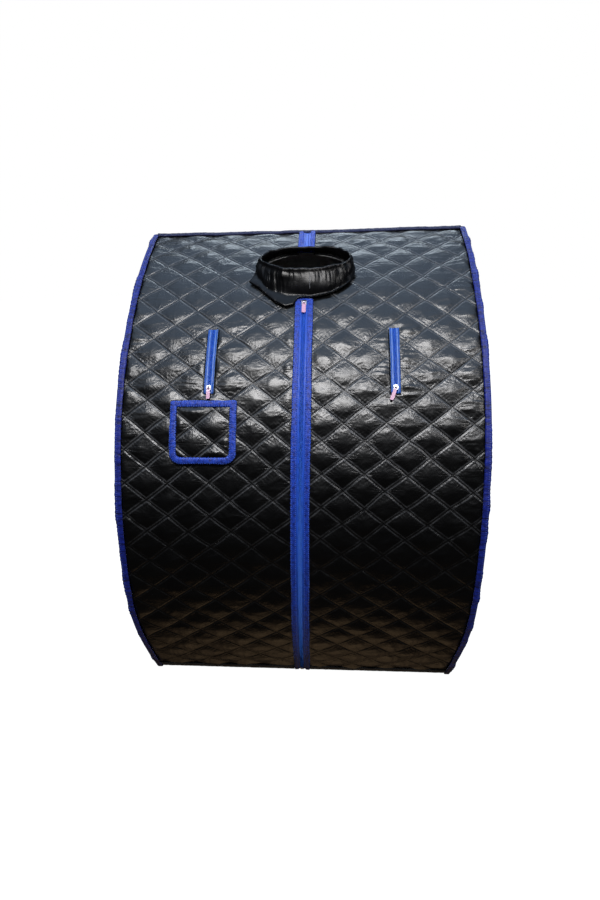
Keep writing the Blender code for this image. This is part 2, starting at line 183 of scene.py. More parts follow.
def mesh_object(name, points, faces, uv=None, quilt=None, folds=None, flat=False):
    """faces is an array of triangles or of quads. uv holds one pair in metres for each point."""
    points = points if flat else settled(points)
    mesh = bpy.data.meshes.new(name)
    mesh.vertices.add(len(points))
    mesh.vertices.foreach_set("co", np.asarray(points, np.float32).ravel())
    faces = np.asarray(faces, np.int32)
    mesh.loops.add(faces.size)
    mesh.loops.foreach_set("vertex_index", faces.ravel())
    mesh.polygons.add(len(faces))
    mesh.polygons.foreach_set("loop_start", np.arange(len(faces), dtype=np.int32) * faces.shape[1])
    mesh.update(calc_edges=True)
    for label, pairs in (("cloth", uv), ("quilt", quilt), ("folds", folds)):
        if pairs is not None:
            layer = mesh.uv_layers.new(name=label)
            layer.data.foreach_set("uv", np.asarray(pairs, np.float32)[faces.ravel()].ravel())
    if not flat:
        mesh.shade_smooth()
    return add(name, mesh)


def closed_sheet(name, outer, inner, uv, keep=None, rising=None, flip=False, quilt=None, folds=None):
    """A closed sheet between two grids. keep says which cells are cloth, rising how a cell is split."""
    rows, columns = outer.shape[0] - 1, outer.shape[1] - 1
    keep = np.ones((rows, columns), bool) if keep is None else keep
    rising = np.ones((rows, columns), bool) if rising is None else rising
    count = (rows + 1) * (columns + 1)
    index = np.arange(count).reshape(rows + 1, columns + 1)
    a, b, c, d = index[:-1, :-1], index[:-1, 1:], index[1:, 1:], index[1:, :-1]
    up, down = keep & rising, keep & ~rising
    top = np.concatenate([
        np.stack([a[up], b[up], c[up]], 1), np.stack([a[up], c[up], d[up]], 1),
        np.stack([a[down], b[down], d[down]], 1), np.stack([b[down], c[down], d[down]], 1),
    ])
    around = np.pad(keep, 1)
    walls = []
    for p, q, beside in ((a, b, around[:-2, 1:-1]), (b, c, around[1:-1, 2:]),
                         (c, d, around[2:, 1:-1]), (d, a, around[1:-1, :-2])):
        edge = keep & ~beside
        first, second = p[edge], q[edge]
        walls.append(np.stack([second, first, first + count], 1))
        walls.append(np.stack([second, first + count, second + count], 1))
    faces = np.concatenate([top, top[:, ::-1] + count, *walls])
    if flip:
        faces = faces[:, ::-1]
    points = np.concatenate([outer.reshape(-1, 3), inner.reshape(-1, 3)])
    uv = np.concatenate([uv.reshape(-1, 2)] * 2)
    used, faces = np.unique(faces, return_inverse=True)
    quilt, folds = (None if pairs is None else np.concatenate([pairs.reshape(-1, 2)] * 2)[used]
                    for pairs in (quilt, folds))
    return mesh_object(name, points[used], faces.reshape(-1, 3), uv[used], quilt, folds)


def tube(name, rings, uv=None, closed_along=True, flip=False):
    """Quads between rings of points. rings is (section, along, 3), and the section is closed."""
    section, along = rings.shape[:2]
    index = np.arange(section * along).reshape(section, along)
    after = np.roll(index, -1, axis=0)
    last = along if closed_along else along - 1
    ahead = np.roll(index, -1, axis=1)
    ahead_after = np.roll(ahead, -1, axis=0)
    quads = np.stack([index[:, :last], ahead[:, :last], ahead_after[:, :last], after[:, :last]], -1)
    faces = quads.reshape(-1, 4)
    triangles = np.concatenate([faces[:, [0, 1, 2]], faces[:, [0, 2, 3]]])
    points = rings.reshape(-1, 3)
    if not closed_along:
        caps = []
        for column, turned in ((0, False), (along - 1, True)):
            loop = index[:, column]
            fan = np.stack([np.full(section - 2, loop[0]), loop[1:-1], loop[2:]], 1)
            caps.append(fan[:, ::-1] if turned else fan)
        triangles = np.concatenate([triangles, *caps])
    if flip:
        triangles = triangles[:, ::-1]
    return mesh_object(name, points, triangles, None if uv is None else uv.reshape(-1, 2))


def joined(name, parts):
    """One mesh from several (points, triangles) shells."""
    points, faces, start = [], [], 0
    for shell, triangles in parts:
        points.append(np.asarray(shell, float))
        faces.append(np.asarray(triangles) + start)
        start += len(shell)
    return mesh_object(name, np.concatenate(points), np.concatenate(faces))


def finish_piece(obj, surface, slot, *nodes):
    obj.data.materials.append(surface)
    if nodes:
        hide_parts(*nodes)
    return obj


def tent_piece(obj, surface, slot, *nodes):
    """Finishes a piece that stays with the tent."""
    finish_piece(obj, surface, slot, *nodes)
    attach(obj, "tent")


# ---------------------------------------------------------------- materials

def new_material(name, colour, roughness, metallic=0.0, **sockets):
    made = bpy.data.materials.new(name)
    made.use_nodes = True
    tree = made.node_tree
    shader = tree.nodes["Principled BSDF"]
    shader.inputs["Base Color"].default_value = (*colour, 1)
    shader.inputs["Roughness"].default_value = roughness
    shader.inputs["Metallic"].default_value = metallic
    for label, value in sockets.items():
        shader.inputs[label.replace("_", " ")].default_value = value
    return made, tree, shader


def node(tree, kind, inputs=(), **settings):
    made = tree.nodes.new(f"ShaderNode{kind}")
    for label, value in settings.items():
        setattr(made, label, value)
    for socket, value in dict(inputs).items():
        if isinstance(value, bpy.types.NodeSocket):
            tree.links.new(value, made.inputs[socket])
        else:
            made.inputs[socket].default_value = value
    return made


def cloth_place(tree, scale):
    """Cloth coordinates in metres, scaled in each direction."""
    place = node(tree, "UVMap", uv_map="cloth")
    return node(tree, "Mapping", {"Vector": place.outputs[0], "Scale": scale}).outputs[0]


def object_place(tree, scale):
    place = node(tree, "TexCoord")
    return node(tree, "Mapping", {"Vector": place.outputs["Object"], "Scale": scale}).outputs[0]


def grain(place, detail=3.0, roughness=0.55, distortion=0.0):
    inputs = {"Vector": place, "Scale": 1.0, "Detail": detail}
    inputs.update({"Roughness": roughness, "Distortion": distortion})
    return node(place.id_data, "TexNoise", inputs).outputs["Fac"]


def mapped(value, low, high, start=0.3, end=0.7):
    inputs = {"Value": value, "From Min": start, "From Max": end, "To Min": low, "To Max": high}
    return node(value.id_data, "MapRange", inputs).outputs["Result"]


def bumped(shader, *layers):
    """Stacks (height, distance, strength) layers into the shader's normal."""
    tree, normal = shader.id_data, {}
    for height, distance, strength in layers:
        inputs = {"Height": height, "Distance": distance, "Strength": strength, **normal}
        normal = {"Normal": node(tree, "Bump", inputs).outputs["Normal"]}
    tree.links.new(normal["Normal"], shader.inputs["Normal"])


def colour_in(mix, name):
    return next(s for s in mix.inputs if s.type == "RGBA" and s.name == name)


def colour_out(mix):
    return next(s for s in mix.outputs if s.type == "RGBA")


def set_colours(mix, first, second):
    colour_in(mix, "A").default_value = (*first, 1)
    colour_in(mix, "B").default_value = (*second, 1)


def tinted(shader, value, dark, light):
    tree = shader.id_data
    mix = node(tree, "Mix", {"Factor": value}, data_type="RGBA")
    set_colours(mix, dark, light)
    tree.links.new(colour_out(mix), shader.inputs["Base Color"])


def math_node(operation, *values):
    tree = next(value.id_data for value in values if isinstance(value, bpy.types.NodeSocket))
    return node(tree, "Math", dict(enumerate(values)), operation=operation).outputs[0]


def plus(first, second):
    return math_node("ADD", first, second)


def minus(first, second):
    return math_node("SUBTRACT", first, second)


def times(first, second):
    return math_node("MULTIPLY", first, second)


def parts_of(tree, label):
    """The X, Y and Z sockets of a UV layer."""
    return node(tree, "SeparateXYZ", {"Vector": node(tree, "UVMap", uv_map=label).outputs[0]}).outputs


def peak(value, centre, width):
    """A smooth peak from 0 to 1 about the centre."""
    off = math_node("DIVIDE", minus(value, centre), width)
    return math_node("EXPONENT", times(times(off, off), -1.0))


def fading(value, reach):
    """1 at zero, and less and less beyond the reach."""
    return math_node("EXPONENT", times(value, -1 / reach))


def seam_bumps(tree):
    """The height in metres of what the seams do to the cloth, and how far the nearest seam is.

    The cloth rolls over on both sides of each seam, puckers fan out from it, and creases run from
    the crossings.
    """
    place = parts_of(tree, "quilt")
    wander = times(grain(cloth_place(tree, (34, 34, 1)), 2.0), 22.0)
    away, puckers = [], []
    for across, along in (("X", "Y"), ("Y", "X")):
        gap = times(math_node("PINGPONG", place[across], 0.5), SEAM_GAP)
        drawn = times(fading(gap, 0.0055), times(gap, 1 / 0.0030))
        turns = times(place[along], 2 * math.pi * SEAM_GAP / 0.0072)
        puckers.append(times(times(drawn, math_node("SINE", plus(turns, wander))), 0.00028))
        away.append(gap)
    nearest = math_node("MINIMUM", *away)
    patchy = mapped(grain(cloth_place(tree, (60, 60, 1)), 2.0), 0.55, 1.0, 0.35, 0.6)
    roll = times(peak(nearest, 0.0030, 0.0015), patchy)
    total = plus(plus(*puckers), times(roll, 0.0010))
    total = minus(total, times(fading(nearest, 0.0012), 0.0010))
    corner = math_node("SQRT", plus(times(away[0], away[0]), times(away[1], away[1])))
    spokes = node(tree, "CombineXYZ", {
        "X": times(math_node("ARCTAN2", *away), 5.5),
        "Y": times(math_node("FLOOR", place["X"]), 3.7),
        "Z": times(math_node("FLOOR", place["Y"]), 5.3),
    })
    spokes = minus(grain(spokes.outputs[0], 2.0, 0.6), 0.5)
    reach = times(fading(corner, 0.012), times(corner, 1 / 0.008))
    return plus(total, times(times(spokes, reach), 0.0036)), nearest


def satin(name, crinkle, dark, light, rough=(0.25, 0.35), quilted=True, gloss=0.85):
    """Black polyester satin: crinkles, puckers, a painted highlight as a pale line beside each seam that
    fades towards the floor, and an uneven gloss.
    """
    made, tree, shader = new_material(
        name, dark, 0.3, Specular_IOR_Level=gloss, Coat_Weight=0.12 * gloss, Coat_Roughness=0.12,
    )
    shade = grain(cloth_place(tree, (22, 26, 1)), 3.0)
    tree.links.new(mapped(shade, *rough), shader.inputs["Roughness"])
    level_folds = grain(cloth_place(tree, (26, 120, 1)), 1.0, 0.45, 0.6)
    upright_folds = grain(cloth_place(tree, (115, 24, 1)), 1.0, 0.45, 0.4)
    height = times(grain(cloth_place(tree, (40, 58, 1)), 1.0, 0.40, 0.5), 0.0022 * crinkle)
    if quilted:
        folds = parts_of(tree, "folds")
        level_folds = times(level_folds, times(folds["X"], 0.0034 * crinkle))
        upright_folds = times(upright_folds, times(folds["Y"], 0.0030 * crinkle))
        puckers, nearest = seam_bumps(tree)
        height = plus(height, puckers)
        # Painted highlight: a patchy pale line on the roll beside each seam, fading out towards the floor as
        # painted shade on the lower wall.
        painted_seam_highlight = mapped(grain(cloth_place(tree, (70, 70, 1)), 3.0, 0.65), 0.25, 1.0, 0.36, 0.60)
        painted_seam_highlight = times(painted_seam_highlight, mapped(parts_of(tree, "cloth")["Y"], 0.10, 1.0, 0.40, 0.56))
        tinted(shader, times(peak(nearest, 0.0028, 0.0012), painted_seam_highlight), dark, light)
    else:
        level_folds = times(level_folds, 0.0010 * crinkle)
        upright_folds = times(upright_folds, 0.0016 * crinkle)
        tinted(shader, mapped(shade, 0.0, 1.0), dark, light)
    bumped(shader, (plus(height, plus(level_folds, upright_folds)), 0.32, 1.0))
    return made


def ribbon_cloth(name, dark, light, pale, edges=(0.86,)):
    """Ribbon whose u runs across it from 0 to 1: painted shade in the hollows of its puckers and paler pucker
    crests, and pale stitches run along its edges.
    """
    made, tree, shader = new_material(name, light, 0.46, Sheen_Weight=0.15, Sheen_Roughness=0.4)
    place = parts_of(tree, "cloth")
    puckers = grain(cloth_place(tree, (1.6, 150, 1)), 4.0, 0.68, 0.4)
    patches = grain(cloth_place(tree, (5, 330, 1)), 3.0, 0.6)
    # The colour follows the puckers' bump height: painted shade in their hollows, painted highlight on their
    # crests, varied at random by the patches.
    value = times(mapped(puckers, 0.0, 1.0, 0.36, 0.56), mapped(patches, 0.55, 1.0, 0.35, 0.6))
    body = node(tree, "Mix", {"Factor": value}, data_type="RGBA")
    set_colours(body, dark, light)
    stitch = 0.0042
    beat = mapped(math_node("SINE", times(place["Y"], 2 * math.pi / stitch)), 0.0, 1.0, -0.1, 0.6)
    stitches = None
    for edge in edges:
        off = math_node("ABSOLUTE", minus(place["X"], edge))
        line = times(mapped(off, 1.0, 0.0, 0.03, 0.11), beat)
        stitches = line if stitches is None else math_node("MAXIMUM", stitches, line)
    both = node(tree, "Mix", {"Factor": stitches}, data_type="RGBA")
    set_colours(both, dark, pale)
    tree.links.new(colour_out(body), colour_in(both, "A"))
    tree.links.new(colour_out(both), shader.inputs["Base Color"])
    ribs = grain(cloth_place(tree, (3, 1500, 1)), 1.0)
    bumped(shader, (puckers, 0.0016, 0.8), (stitches, 0.0005, 0.6), (ribs, 0.0003, 0.4))
    return made


def woven(name, dark, light, rib=1100, rough=0.5, sheen=0.2):
    """Ribbon: ribs across it, and patches where the light catches the threads."""
    made, tree, shader = new_material(name, light, rough, Sheen_Weight=sheen, Sheen_Roughness=0.4)
    ribs = grain(cloth_place(tree, (160, rib, 1)), 1.0)
    patches = grain(cloth_place(tree, (140, 110, 1)), 4.0, 0.65)
    tinted(shader, mapped(patches, 0.0, 1.0, 0.32, 0.62), dark, light)
    bumped(shader, (ribs, 0.0005, 0.7), (patches, 0.0012, 0.5))
    return made


def plain(name, colour, roughness, metallic=0.0, scale=60, spread=0.08, depth=0.0003, light=None, **sockets):
    """Moulded or plated material: uneven gloss and a faint unevenness of the surface."""
    made, tree, shader = new_material(name, colour, roughness, metallic, **sockets)
    value = grain(object_place(tree, (scale,) * 3), 4.0)
    tree.links.new(mapped(value, roughness - spread, roughness + spread), shader.inputs["Roughness"])
    if light is not None:
        tinted(shader, mapped(value, 0.0, 1.0), colour, light)
    bumped(shader, (value, depth, 0.4))
    return made


def zipper_tape_material(name, dark, light, pale):
    """Azure tape with painted highlights on the sewn ridge and the outer edge, and painted shade by the teeth
    and between ridge and edge. The u coordinate runs from 0 at the teeth to 1 at the outside.
    """
    made, tree, shader = new_material(name, light, 0.42, Sheen_Weight=0.15, Sheen_Roughness=0.4)
    ramp = node(tree, "ValToRGB", {"Fac": parts_of(tree, "cloth")["X"]})
    stops = ramp.color_ramp.elements
    stops[0].position, stops[0].color = 0.0, (*dark, 1)
    stops[1].position, stops[1].color = 1.0, (*pale, 1)
    # Painted highlights: pale bands on the sewn ridge (0.54) and the edge cord (1.0); painted shade: dark
    # bands by the teeth (0.0) and between ridge and cord (0.74).
    bands = ((0.46, light), (0.54, pale), (0.62, light), (0.74, dark), (0.84, light), (0.92, light))
    for place, colour in bands:
        stops.new(place).color = (*colour, 1)
    patches = grain(object_place(tree, (260, 260, 90)), 3.0)
    shade = node(tree, "Mix", {"Factor": 1.0}, data_type="RGBA", blend_type="MULTIPLY")
    value = mapped(patches, 0.72, 1.08)
    grey = node(tree, "CombineColor", {"Red": value, "Green": value, "Blue": value})
    tree.links.new(ramp.outputs["Color"], colour_in(shade, "A"))
    tree.links.new(grey.outputs["Color"], colour_in(shade, "B"))
    tree.links.new(colour_out(shade), shader.inputs["Base Color"])
    bumped(shader, (patches, 0.0006, 0.5))
    return made


# quilted_satin's paler colour is used only for the painted highlight beside the seams.
SATIN = satin("quilted_satin", 0.60, (0.0028, 0.0028, 0.0030), (0.110, 0.112, 0.118))
COLLAR_SATIN = satin(
    "collar_satin", 0.45, (0.002, 0.002, 0.0023), (0.004, 0.004, 0.005), (0.20, 0.30), False, 0.30)
LINING = plain("silver_lining", (0.50, 0.51, 0.53), 0.38, 0.55, 90, 0.1, 0.0008, (0.66, 0.67, 0.69))
ROYAL = ribbon_cloth(
    "royal_ribbon", (0.008, 0.022, 0.22), (0.024, 0.096, 0.75), (0.10, 0.22, 0.95), (0.10, 0.86))
BINDING_ROYAL = ribbon_cloth(
    "edge_ribbon", (0.003, 0.005, 0.065), (0.016, 0.036, 0.40), (0.06, 0.10, 0.52), (0.30,))
NAVY = woven("navy_ribbon", (0.002, 0.003, 0.016), (0.012, 0.018, 0.12))
AZURE = zipper_tape_material("azure_tape", (0.012, 0.082, 0.60), (0.024, 0.130, 0.80), (0.080, 0.23, 0.98))
ARM_AZURE = zipper_tape_material("arm_tape", (0.012, 0.100, 0.52), (0.026, 0.155, 0.70), (0.30, 0.50, 0.90))
COIL = plain("azure_coil", (0.040, 0.200, 0.90), 0.50, 0.0, 400, 0.08, 0.0002, (0.065, 0.270, 1.00))
BLACK_TAPE = woven("black_tape", (0.004, 0.004, 0.005), (0.014, 0.013, 0.014), 900, 0.55)
CHROME = plain("plated_zinc", (0.60, 0.60, 0.62), 0.28, 1.0, 300, 0.08, 0.0001)
PINK = plain(
    "pink_enamel", (0.90, 0.42, 0.66), 0.30, 0.0, 350, 0.06, 0.0001, (0.98, 0.62, 0.80), Coat_Weight=0.4)
STEEL = plain("spring_steel", (0.50, 0.51, 0.53), 0.30, 1.0, 500, 0.1, 0.0001)
RUBBER = plain("black_rubber", (0.010, 0.010, 0.011), 0.50, 0.0, 260, 0.1, 0.0003, (0.020, 0.020, 0.022))
ELASTIC = plain("black_elastic", (0.008, 0.008, 0.009), 0.60, 0.0, 700, 0.1, 0.0004, (0.016, 0.016, 0.018))
PALE_THREAD = plain("pale_thread", (0.20, 0.21, 0.23), 0.55, 0.0, 900, 0.1, 0.0002, (0.30, 0.31, 0.33))
MAT_CLOTH = satin("mat_cloth", 0.35, (0.020, 0.020, 0.024), (0.034, 0.034, 0.040), (0.45, 0.6), False)


# ---------------------------------------------------------------- camera, floor, lights

def make_camera():
    data = bpy.data.cameras.new("camera")
    data.lens = 25.15
    obj = add("camera", data)
    obj.location = (0.0461, -1.4689, 0.9656)
    obj.rotation_euler = (math.radians(70.48), 0.0, math.radians(2.456))
    bpy.context.scene.camera = obj


def area_light(name, place, target, size, size_y, power, colour):
    data = bpy.data.lights.new(name, "AREA")
    data.shape = "RECTANGLE"
    data.size, data.size_y = size, size_y
    data.energy, data.color = power, colour
    obj = add(name, data)
    obj.location = place
    obj.rotation_euler = (Vector(target) - Vector(place)).to_track_quat("-Z", "Y").to_euler()


def make_world():
    """A soft room: a cool ceiling, a dim middle, and a dark warm floor for what faces down."""
    world = bpy.data.worlds.new("room")
    bpy.context.scene.world = world
    world.use_nodes = True
    tree = world.node_tree
    sky = tree.nodes["Background"]
    place = node(tree, "TexCoord")
    height = node(tree, "SeparateXYZ", {"Vector": place.outputs["Generated"]}).outputs["Z"]
    share = node(tree, "MapRange", {"Value": height, "From Min": -1.0, "From Max": 1.0})
    ramp = node(tree, "ValToRGB", {"Fac": share.outputs["Result"]})
    stops = ramp.color_ramp.elements
    stops[0].position, stops[0].color = 0.0, (0.30, 0.20, 0.11, 1)
    stops[1].position, stops[1].color = 1.0, (0.62, 0.82, 1.12, 1)
    between = (
        (0.012, (0.13, 0.085, 0.05)),
        (0.05, (0.014, 0.011, 0.009)),
        (0.42, (0.006, 0.006, 0.006)),
        (0.62, (0.015, 0.015, 0.016)),
        (0.82, (0.10, 0.115, 0.135)),
        (0.93, (0.46, 0.60, 0.82)),
    )
    for spot, colour in between:
        stops.new(spot).color = (*colour, 1)
    tree.links.new(ramp.outputs["Color"], sky.inputs["Color"])
    sky.inputs["Strength"].default_value = 1.0


def glowing(name, colour, roughness):
    made, tree, shader = new_material(name, colour, roughness)
    shader.inputs["Emission Color"].default_value = (1, 1, 1, 1)
    shader.inputs["Emission Strength"].default_value = 1.0
    return made, tree, shader


def make_stage():
    """The pale floor and the pale backdrop. They don't show in the cloth's gloss."""
    floor_cloth, tree, shader = glowing("floor", (0.3, 0.3, 0.3), 0.8)
    patches = grain(object_place(tree, (3, 3, 3)), 2.0)
    tinted(shader, patches, (0.28, 0.28, 0.28), (0.32, 0.32, 0.32))
    size, radius, around, up = 9.0, 8.5, 64, 17
    corners = [(-size, -size, 0), (size, -size, 0), (size, size, 0), (-size, size, 0)]
    floor = mesh_object("floor", corners, [(0, 1, 2, 3)], flat=True)
    floor.data.materials.append(floor_cloth)
    floor.location.z = -0.0006
    turns = np.linspace(0, 2 * np.pi, around, endpoint=False)
    turn, rise = np.meshgrid(turns, np.linspace(-0.2, np.pi / 2, up))
    rings = radius * np.stack([np.cos(rise) * np.cos(turn), np.cos(rise) * np.sin(turn), np.sin(rise)], -1)
    index = np.arange(up * around).reshape(up, around)
    ahead = np.roll(index, -1, axis=1)
    quads = np.stack([index[:-1], index[1:], ahead[1:], ahead[:-1]], -1).reshape(-1, 4)
    dome = mesh_object("backdrop", rings.reshape(-1, 3), quads)
    dome.data.materials.append(glowing("backdrop", (0, 0, 0), 1.0)[0])
    for obj in (floor, dome):
        obj.visible_glossy = False
        obj.visible_diffuse = False
    for label in ("visible_transmission", "visible_volume_scatter", "visible_shadow"):
        setattr(dome, label, False)


def make_lights():
    area_light("ceiling_light", (0.0, -1.75, 2.45), (0.0, -0.3, 0.7), 1.3, 0.55, 31, (1.0, 0.98, 0.97))
    area_light("back_light", (0.0, 1.7, 2.9), (0.0, -0.2, 0.9), 1.6, 0.45, 13, (0.78, 0.90, 1.0))
    area_light("window", (1.7, -2.0, 2.3), (0.0, -0.2, 0.6), 0.5, 0.8, 7, (1.0, 0.96, 0.93))


# ---------------------------------------------------------------- quilted cloth

def quilt_lattice(u, v, phase):
    """Two coordinates that each pass an integer on a quilting line."""
    a = (u - phase[0]) / CELL_W + (v - phase[1]) / CELL_H
    b = (u - phase[0]) / CELL_W - (v - phase[1]) / CELL_H
    return a, b


def cell_random(a, b, seed):
    table = np.random.default_rng(seed).uniform(-1, 1, (64, 64))
    return table[np.floor(a).astype(int) % 64, np.floor(b).astype(int) % 64]


def pillows(u, v, phase, seed):
    """Height of the quilting from 0 in a seam to about 1 on a pillow, with a dimple where the seams cross."""
    a, b = quilt_lattice(u, v, phase)
    s, t = a - np.floor(a), b - np.floor(b)
    from_a, from_b = np.minimum(s, 1 - s) * SEAM_GAP, np.minimum(t, 1 - t) * SEAM_GAP
    rise = (1 - np.exp(-from_a / 0.0050)) * (1 - np.exp(-from_b / 0.0050))
    dome = (np.sin(np.pi * s) * np.sin(np.pi * t)) ** 0.75
    height = dome * (1 + 0.20 * cell_random(a, b, seed))
    lean = (s - 0.5) * cell_random(a, b, seed + 1) + (t - 0.5) * cell_random(a, b, seed + 2)
    height += 0.45 * dome * lean
    near = np.exp(-((from_a**2 + from_b**2) / 0.010**2))
    spokes = np.cos(6 * np.arctan2(from_a, from_b + 1e-6) + 5 * cell_random(a, b, seed + 5))
    height += near * (0.30 * spokes * rise - 0.12)
    return height, np.sqrt(np.clip(rise, 0, 1))


def grid_lines(low, high, phase, step):
    """Lines on the quilting's own grid, with the two ends moved to the cloth's edges."""
    first = math.ceil((low - phase) / step + 0.4)
    last = math.floor((high - phase) / step - 0.4)
    numbers = np.arange(first - 1, last + 2)
    places = phase + numbers * step
    places[0], places[-1] = low, high
    return places, numbers


def cell_split(columns, rows, steps):
    """True where a cell's diagonal rises with the grid, so that the seams run along edges of triangles."""
    i, j = np.meshgrid(columns[:-1], rows[:-1])
    falls = (i + j + 1) % steps == 0
    rises = (i - j) % steps == 0
    return np.where(falls, False, np.where(rises, True, (i + j) % 2 == 0))


def snap_to_outline(u, v, keep, outline):
    """Moves the points on the border of a hole onto the hole's outline."""
    around = np.pad(keep, 1)
    beside = np.stack([around[:-1, :-1], around[1:, :-1], around[:-1, 1:], around[1:, 1:]])
    edge = beside.any(0) & ~beside.all(0)
    edge[0, :] = edge[-1, :] = edge[:, 0] = edge[:, -1] = False
    small = 1e-5
    for _ in range(3):
        f = outline(u, v)
        fu = (outline(u + small, v) - f) / small
        fv = (outline(u, v + small) - f) / small
        scale = f / np.maximum(fu**2 + fv**2, 0.2)
        u = np.where(edge, u - scale * fu, u)
        v = np.where(edge, v - scale * fv, v)
    return u, v


def ellipse_outline(half_u, half_v, middle_v):
    def outline(u, v):
        return (np.hypot(u / half_u, (v - middle_v) / half_v) - 1) * half_v
    return outline


def box_outline(middle_u, half_u, low_v, high_v):
    def outline(u, v):
        across = np.abs(u - middle_u) - half_u
        along = np.abs(v - (low_v + high_v) / 2) - (high_v - low_v) / 2
        outside = np.hypot(np.maximum(across, 0), np.maximum(along, 0))
        return outside + np.minimum(np.maximum(across, along), 0)
    return outline


def all_outlines(*outlines):
    def outline(u, v):
        found = outlines[0](u, v)
        for other in outlines[1:]:
            found = np.minimum(found, other(u, v))
        return found
    return outline


def edge_distance(u, v, low_u, high_u, low_v, high_v):
    return np.minimum(np.minimum(u - low_u, high_u - u), np.minimum(v - low_v, high_v - v))


def nowhere(u, v):
    """The outline of no hole at all."""
    return np.full(np.shape(u), 1.0)


def cloth_grid(span_u, span_v, phase, steps, outline=nowhere):
    """A grid on the quilting's lines, drawn to its holes: u, v, the cells of cloth, and how each is split."""
    columns, column_numbers = grid_lines(*span_u, phase[0], CELL_W / steps)
    rows, row_numbers = grid_lines(*span_v, phase[1], CELL_H / steps)
    u, v = np.meshgrid(columns, rows)
    keep = outline((u[:-1, :-1] + u[1:, 1:]) / 2, (v[:-1, :-1] + v[1:, 1:]) / 2) > 0
    u, v = snap_to_outline(u, v, keep, outline)
    return u, v, keep, cell_split(column_numbers, row_numbers, steps)


def fold_weights(u, v, slit_u, slit_v):
    """How strongly level and upright folds show, at the sides, the arm slits, the door and the top."""
    across = np.abs(u)
    near_top = smooth(0.84, 1.02, v)
    low = 1 - smooth(0.40, 0.72, v)
    at_side = smooth(0.265, 0.330, across)
    beside_slit = np.exp(-(((across - slit_u) / 0.050) ** 2)) * smooth(slit_v[0] - 0.04, slit_v[0] + 0.01, v)
    beside_slit = beside_slit * (1 - smooth(slit_v[1] - 0.01, slit_v[1] + 0.04, v))
    at_door = 1 - smooth(0.018, 0.040, across)
    level = 0.20 + 0.45 * near_top + 1.5 * beside_slit + (1.1 - 0.6 * low) * at_side
    level = level + 0.8 * at_door - 0.1 * low
    upright = 0.30 + 0.55 * low + 0.25 * near_top - 0.3 * at_side
    return level, upright


def wall_wrinkles(u, v, seed, level, upright):
    """Wrinkles in metres."""
    drift = v + 0.010 * noise(u, v, 0.05, 0.05, seed + 9)
    folds = (crease(u, drift, 0.050, 0.0095, seed, 2.2) - 0.45) * level
    crumple = crease(u + 0.4 * v, v - 0.3 * u, 0.022, 0.015, seed + 1, 1.6) - 0.5
    streaks = crease(u, v, 0.0105, 0.045, seed + 2, 2.4) - 0.42
    broad = noise(u, v, 0.060, 0.040, seed + 3)
    return (folds + 0.75 * crumple + 0.9 * streaks * upright + 0.45 * broad) * MM


def quilted_wall(name, span_u, phase, steps, outline, slit, seed, rear=False):
    """One piece of the quilted satin wrapped round the front or rear arc."""
    u, v, keep, rising = cloth_grid(span_u, (FLOOR_V, TOP_V), phase, steps, outline)
    border = np.minimum(edge_distance(u, v, *span_u, FLOOR_V, TOP_V), outline(u, v))
    sewn = smooth(0.0, 0.011, border)
    free = smooth(0.0, 0.030, border)
    pillow, inside = pillows(u, v, phase, seed)
    level, upright = fold_weights(u, v, *slit)
    wrinkles = wall_wrinkles(u, v, seed, level, upright)
    height = PILLOW * pillow * sewn + wrinkles * sewn * (0.25 + 0.75 * inside)
    radius = np.maximum(QUILT_EDGE + (GROOVE - QUILT_EDGE) * sewn + height, QUILT_IN + 0.0016)
    place_u = u + 0.0022 * noise(u, v, 0.055, 0.055, seed + 20) * free
    place_v = v + 0.0020 * noise(u, v, 0.055, 0.055, seed + 21) * free
    outer, inner = wrap(place_u, place_v, radius, rear), wrap(place_u, place_v, QUILT_IN, rear)
    quilt = np.stack(quilt_lattice(u, v, phase), -1)
    folds = np.stack([level, upright], -1)
    return closed_sheet(name, outer, inner, np.stack([u, v], -1), keep, rising, rear, quilt, folds)


def mirrored_span(side, low, high):
    return (low, high) if side > 0 else (-high, -low)


def fold_blend(side):
    """Where the door flap starts and ends to follow the flap, on the line square to its fold."""
    joint = next(j for j in frame["joints"] if j["child"] == f"{SIDE_NAME[side]}_flap")
    point, axis = Vector(joint["pos_m"]), Vector(joint["axis"]).normalized()
    inward = Vector((-side, 0, 0))
    square = (inward - axis * inward.dot(axis)).normalized()
    return point - square * OPEN_START, point + square * (0.30 - OPEN_START)


SIDE_NAME = {-1: "left", 1: "right"}


def flap_piece(obj, side, surface, slot, *nodes):
    """Finishes a piece by the door flap: gives it its material, hides the frame's nodes and bakes its
    transform. The line square to the flap's fold is found, but the piece doesn't follow the flap.
    """
    finish_piece(obj, surface, slot, *nodes)
    start, end = fold_blend(side)
    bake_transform(obj)
    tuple(start)
    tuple(end)


def slit_places(side):
    """The arm slit's middle, half width, and lower and upper ends along the arc."""
    low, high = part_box(f"arm_tape_{SIDE_NAME[side]}_outer")
    other_low, other_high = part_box(f"arm_tape_{SIDE_NAME[side]}_inner")
    left, right = min(low.x, other_low.x), max(high.x, other_high.x)
    return (left + right) / 2, (right - left) / 2, length_at_height(low.z), length_at_height(high.z)


def front_openings(side):
    """What is cut out of the front wall's half: the neck and the arm slit."""
    middle, half, low_v, high_v = slit_places(side)
    neck = ellipse_outline(NECK_HALF_WIDTH, NECK_HALF_LENGTH, NECK_V)
    return all_outlines(neck, box_outline(middle, half + 0.0003, low_v, high_v))


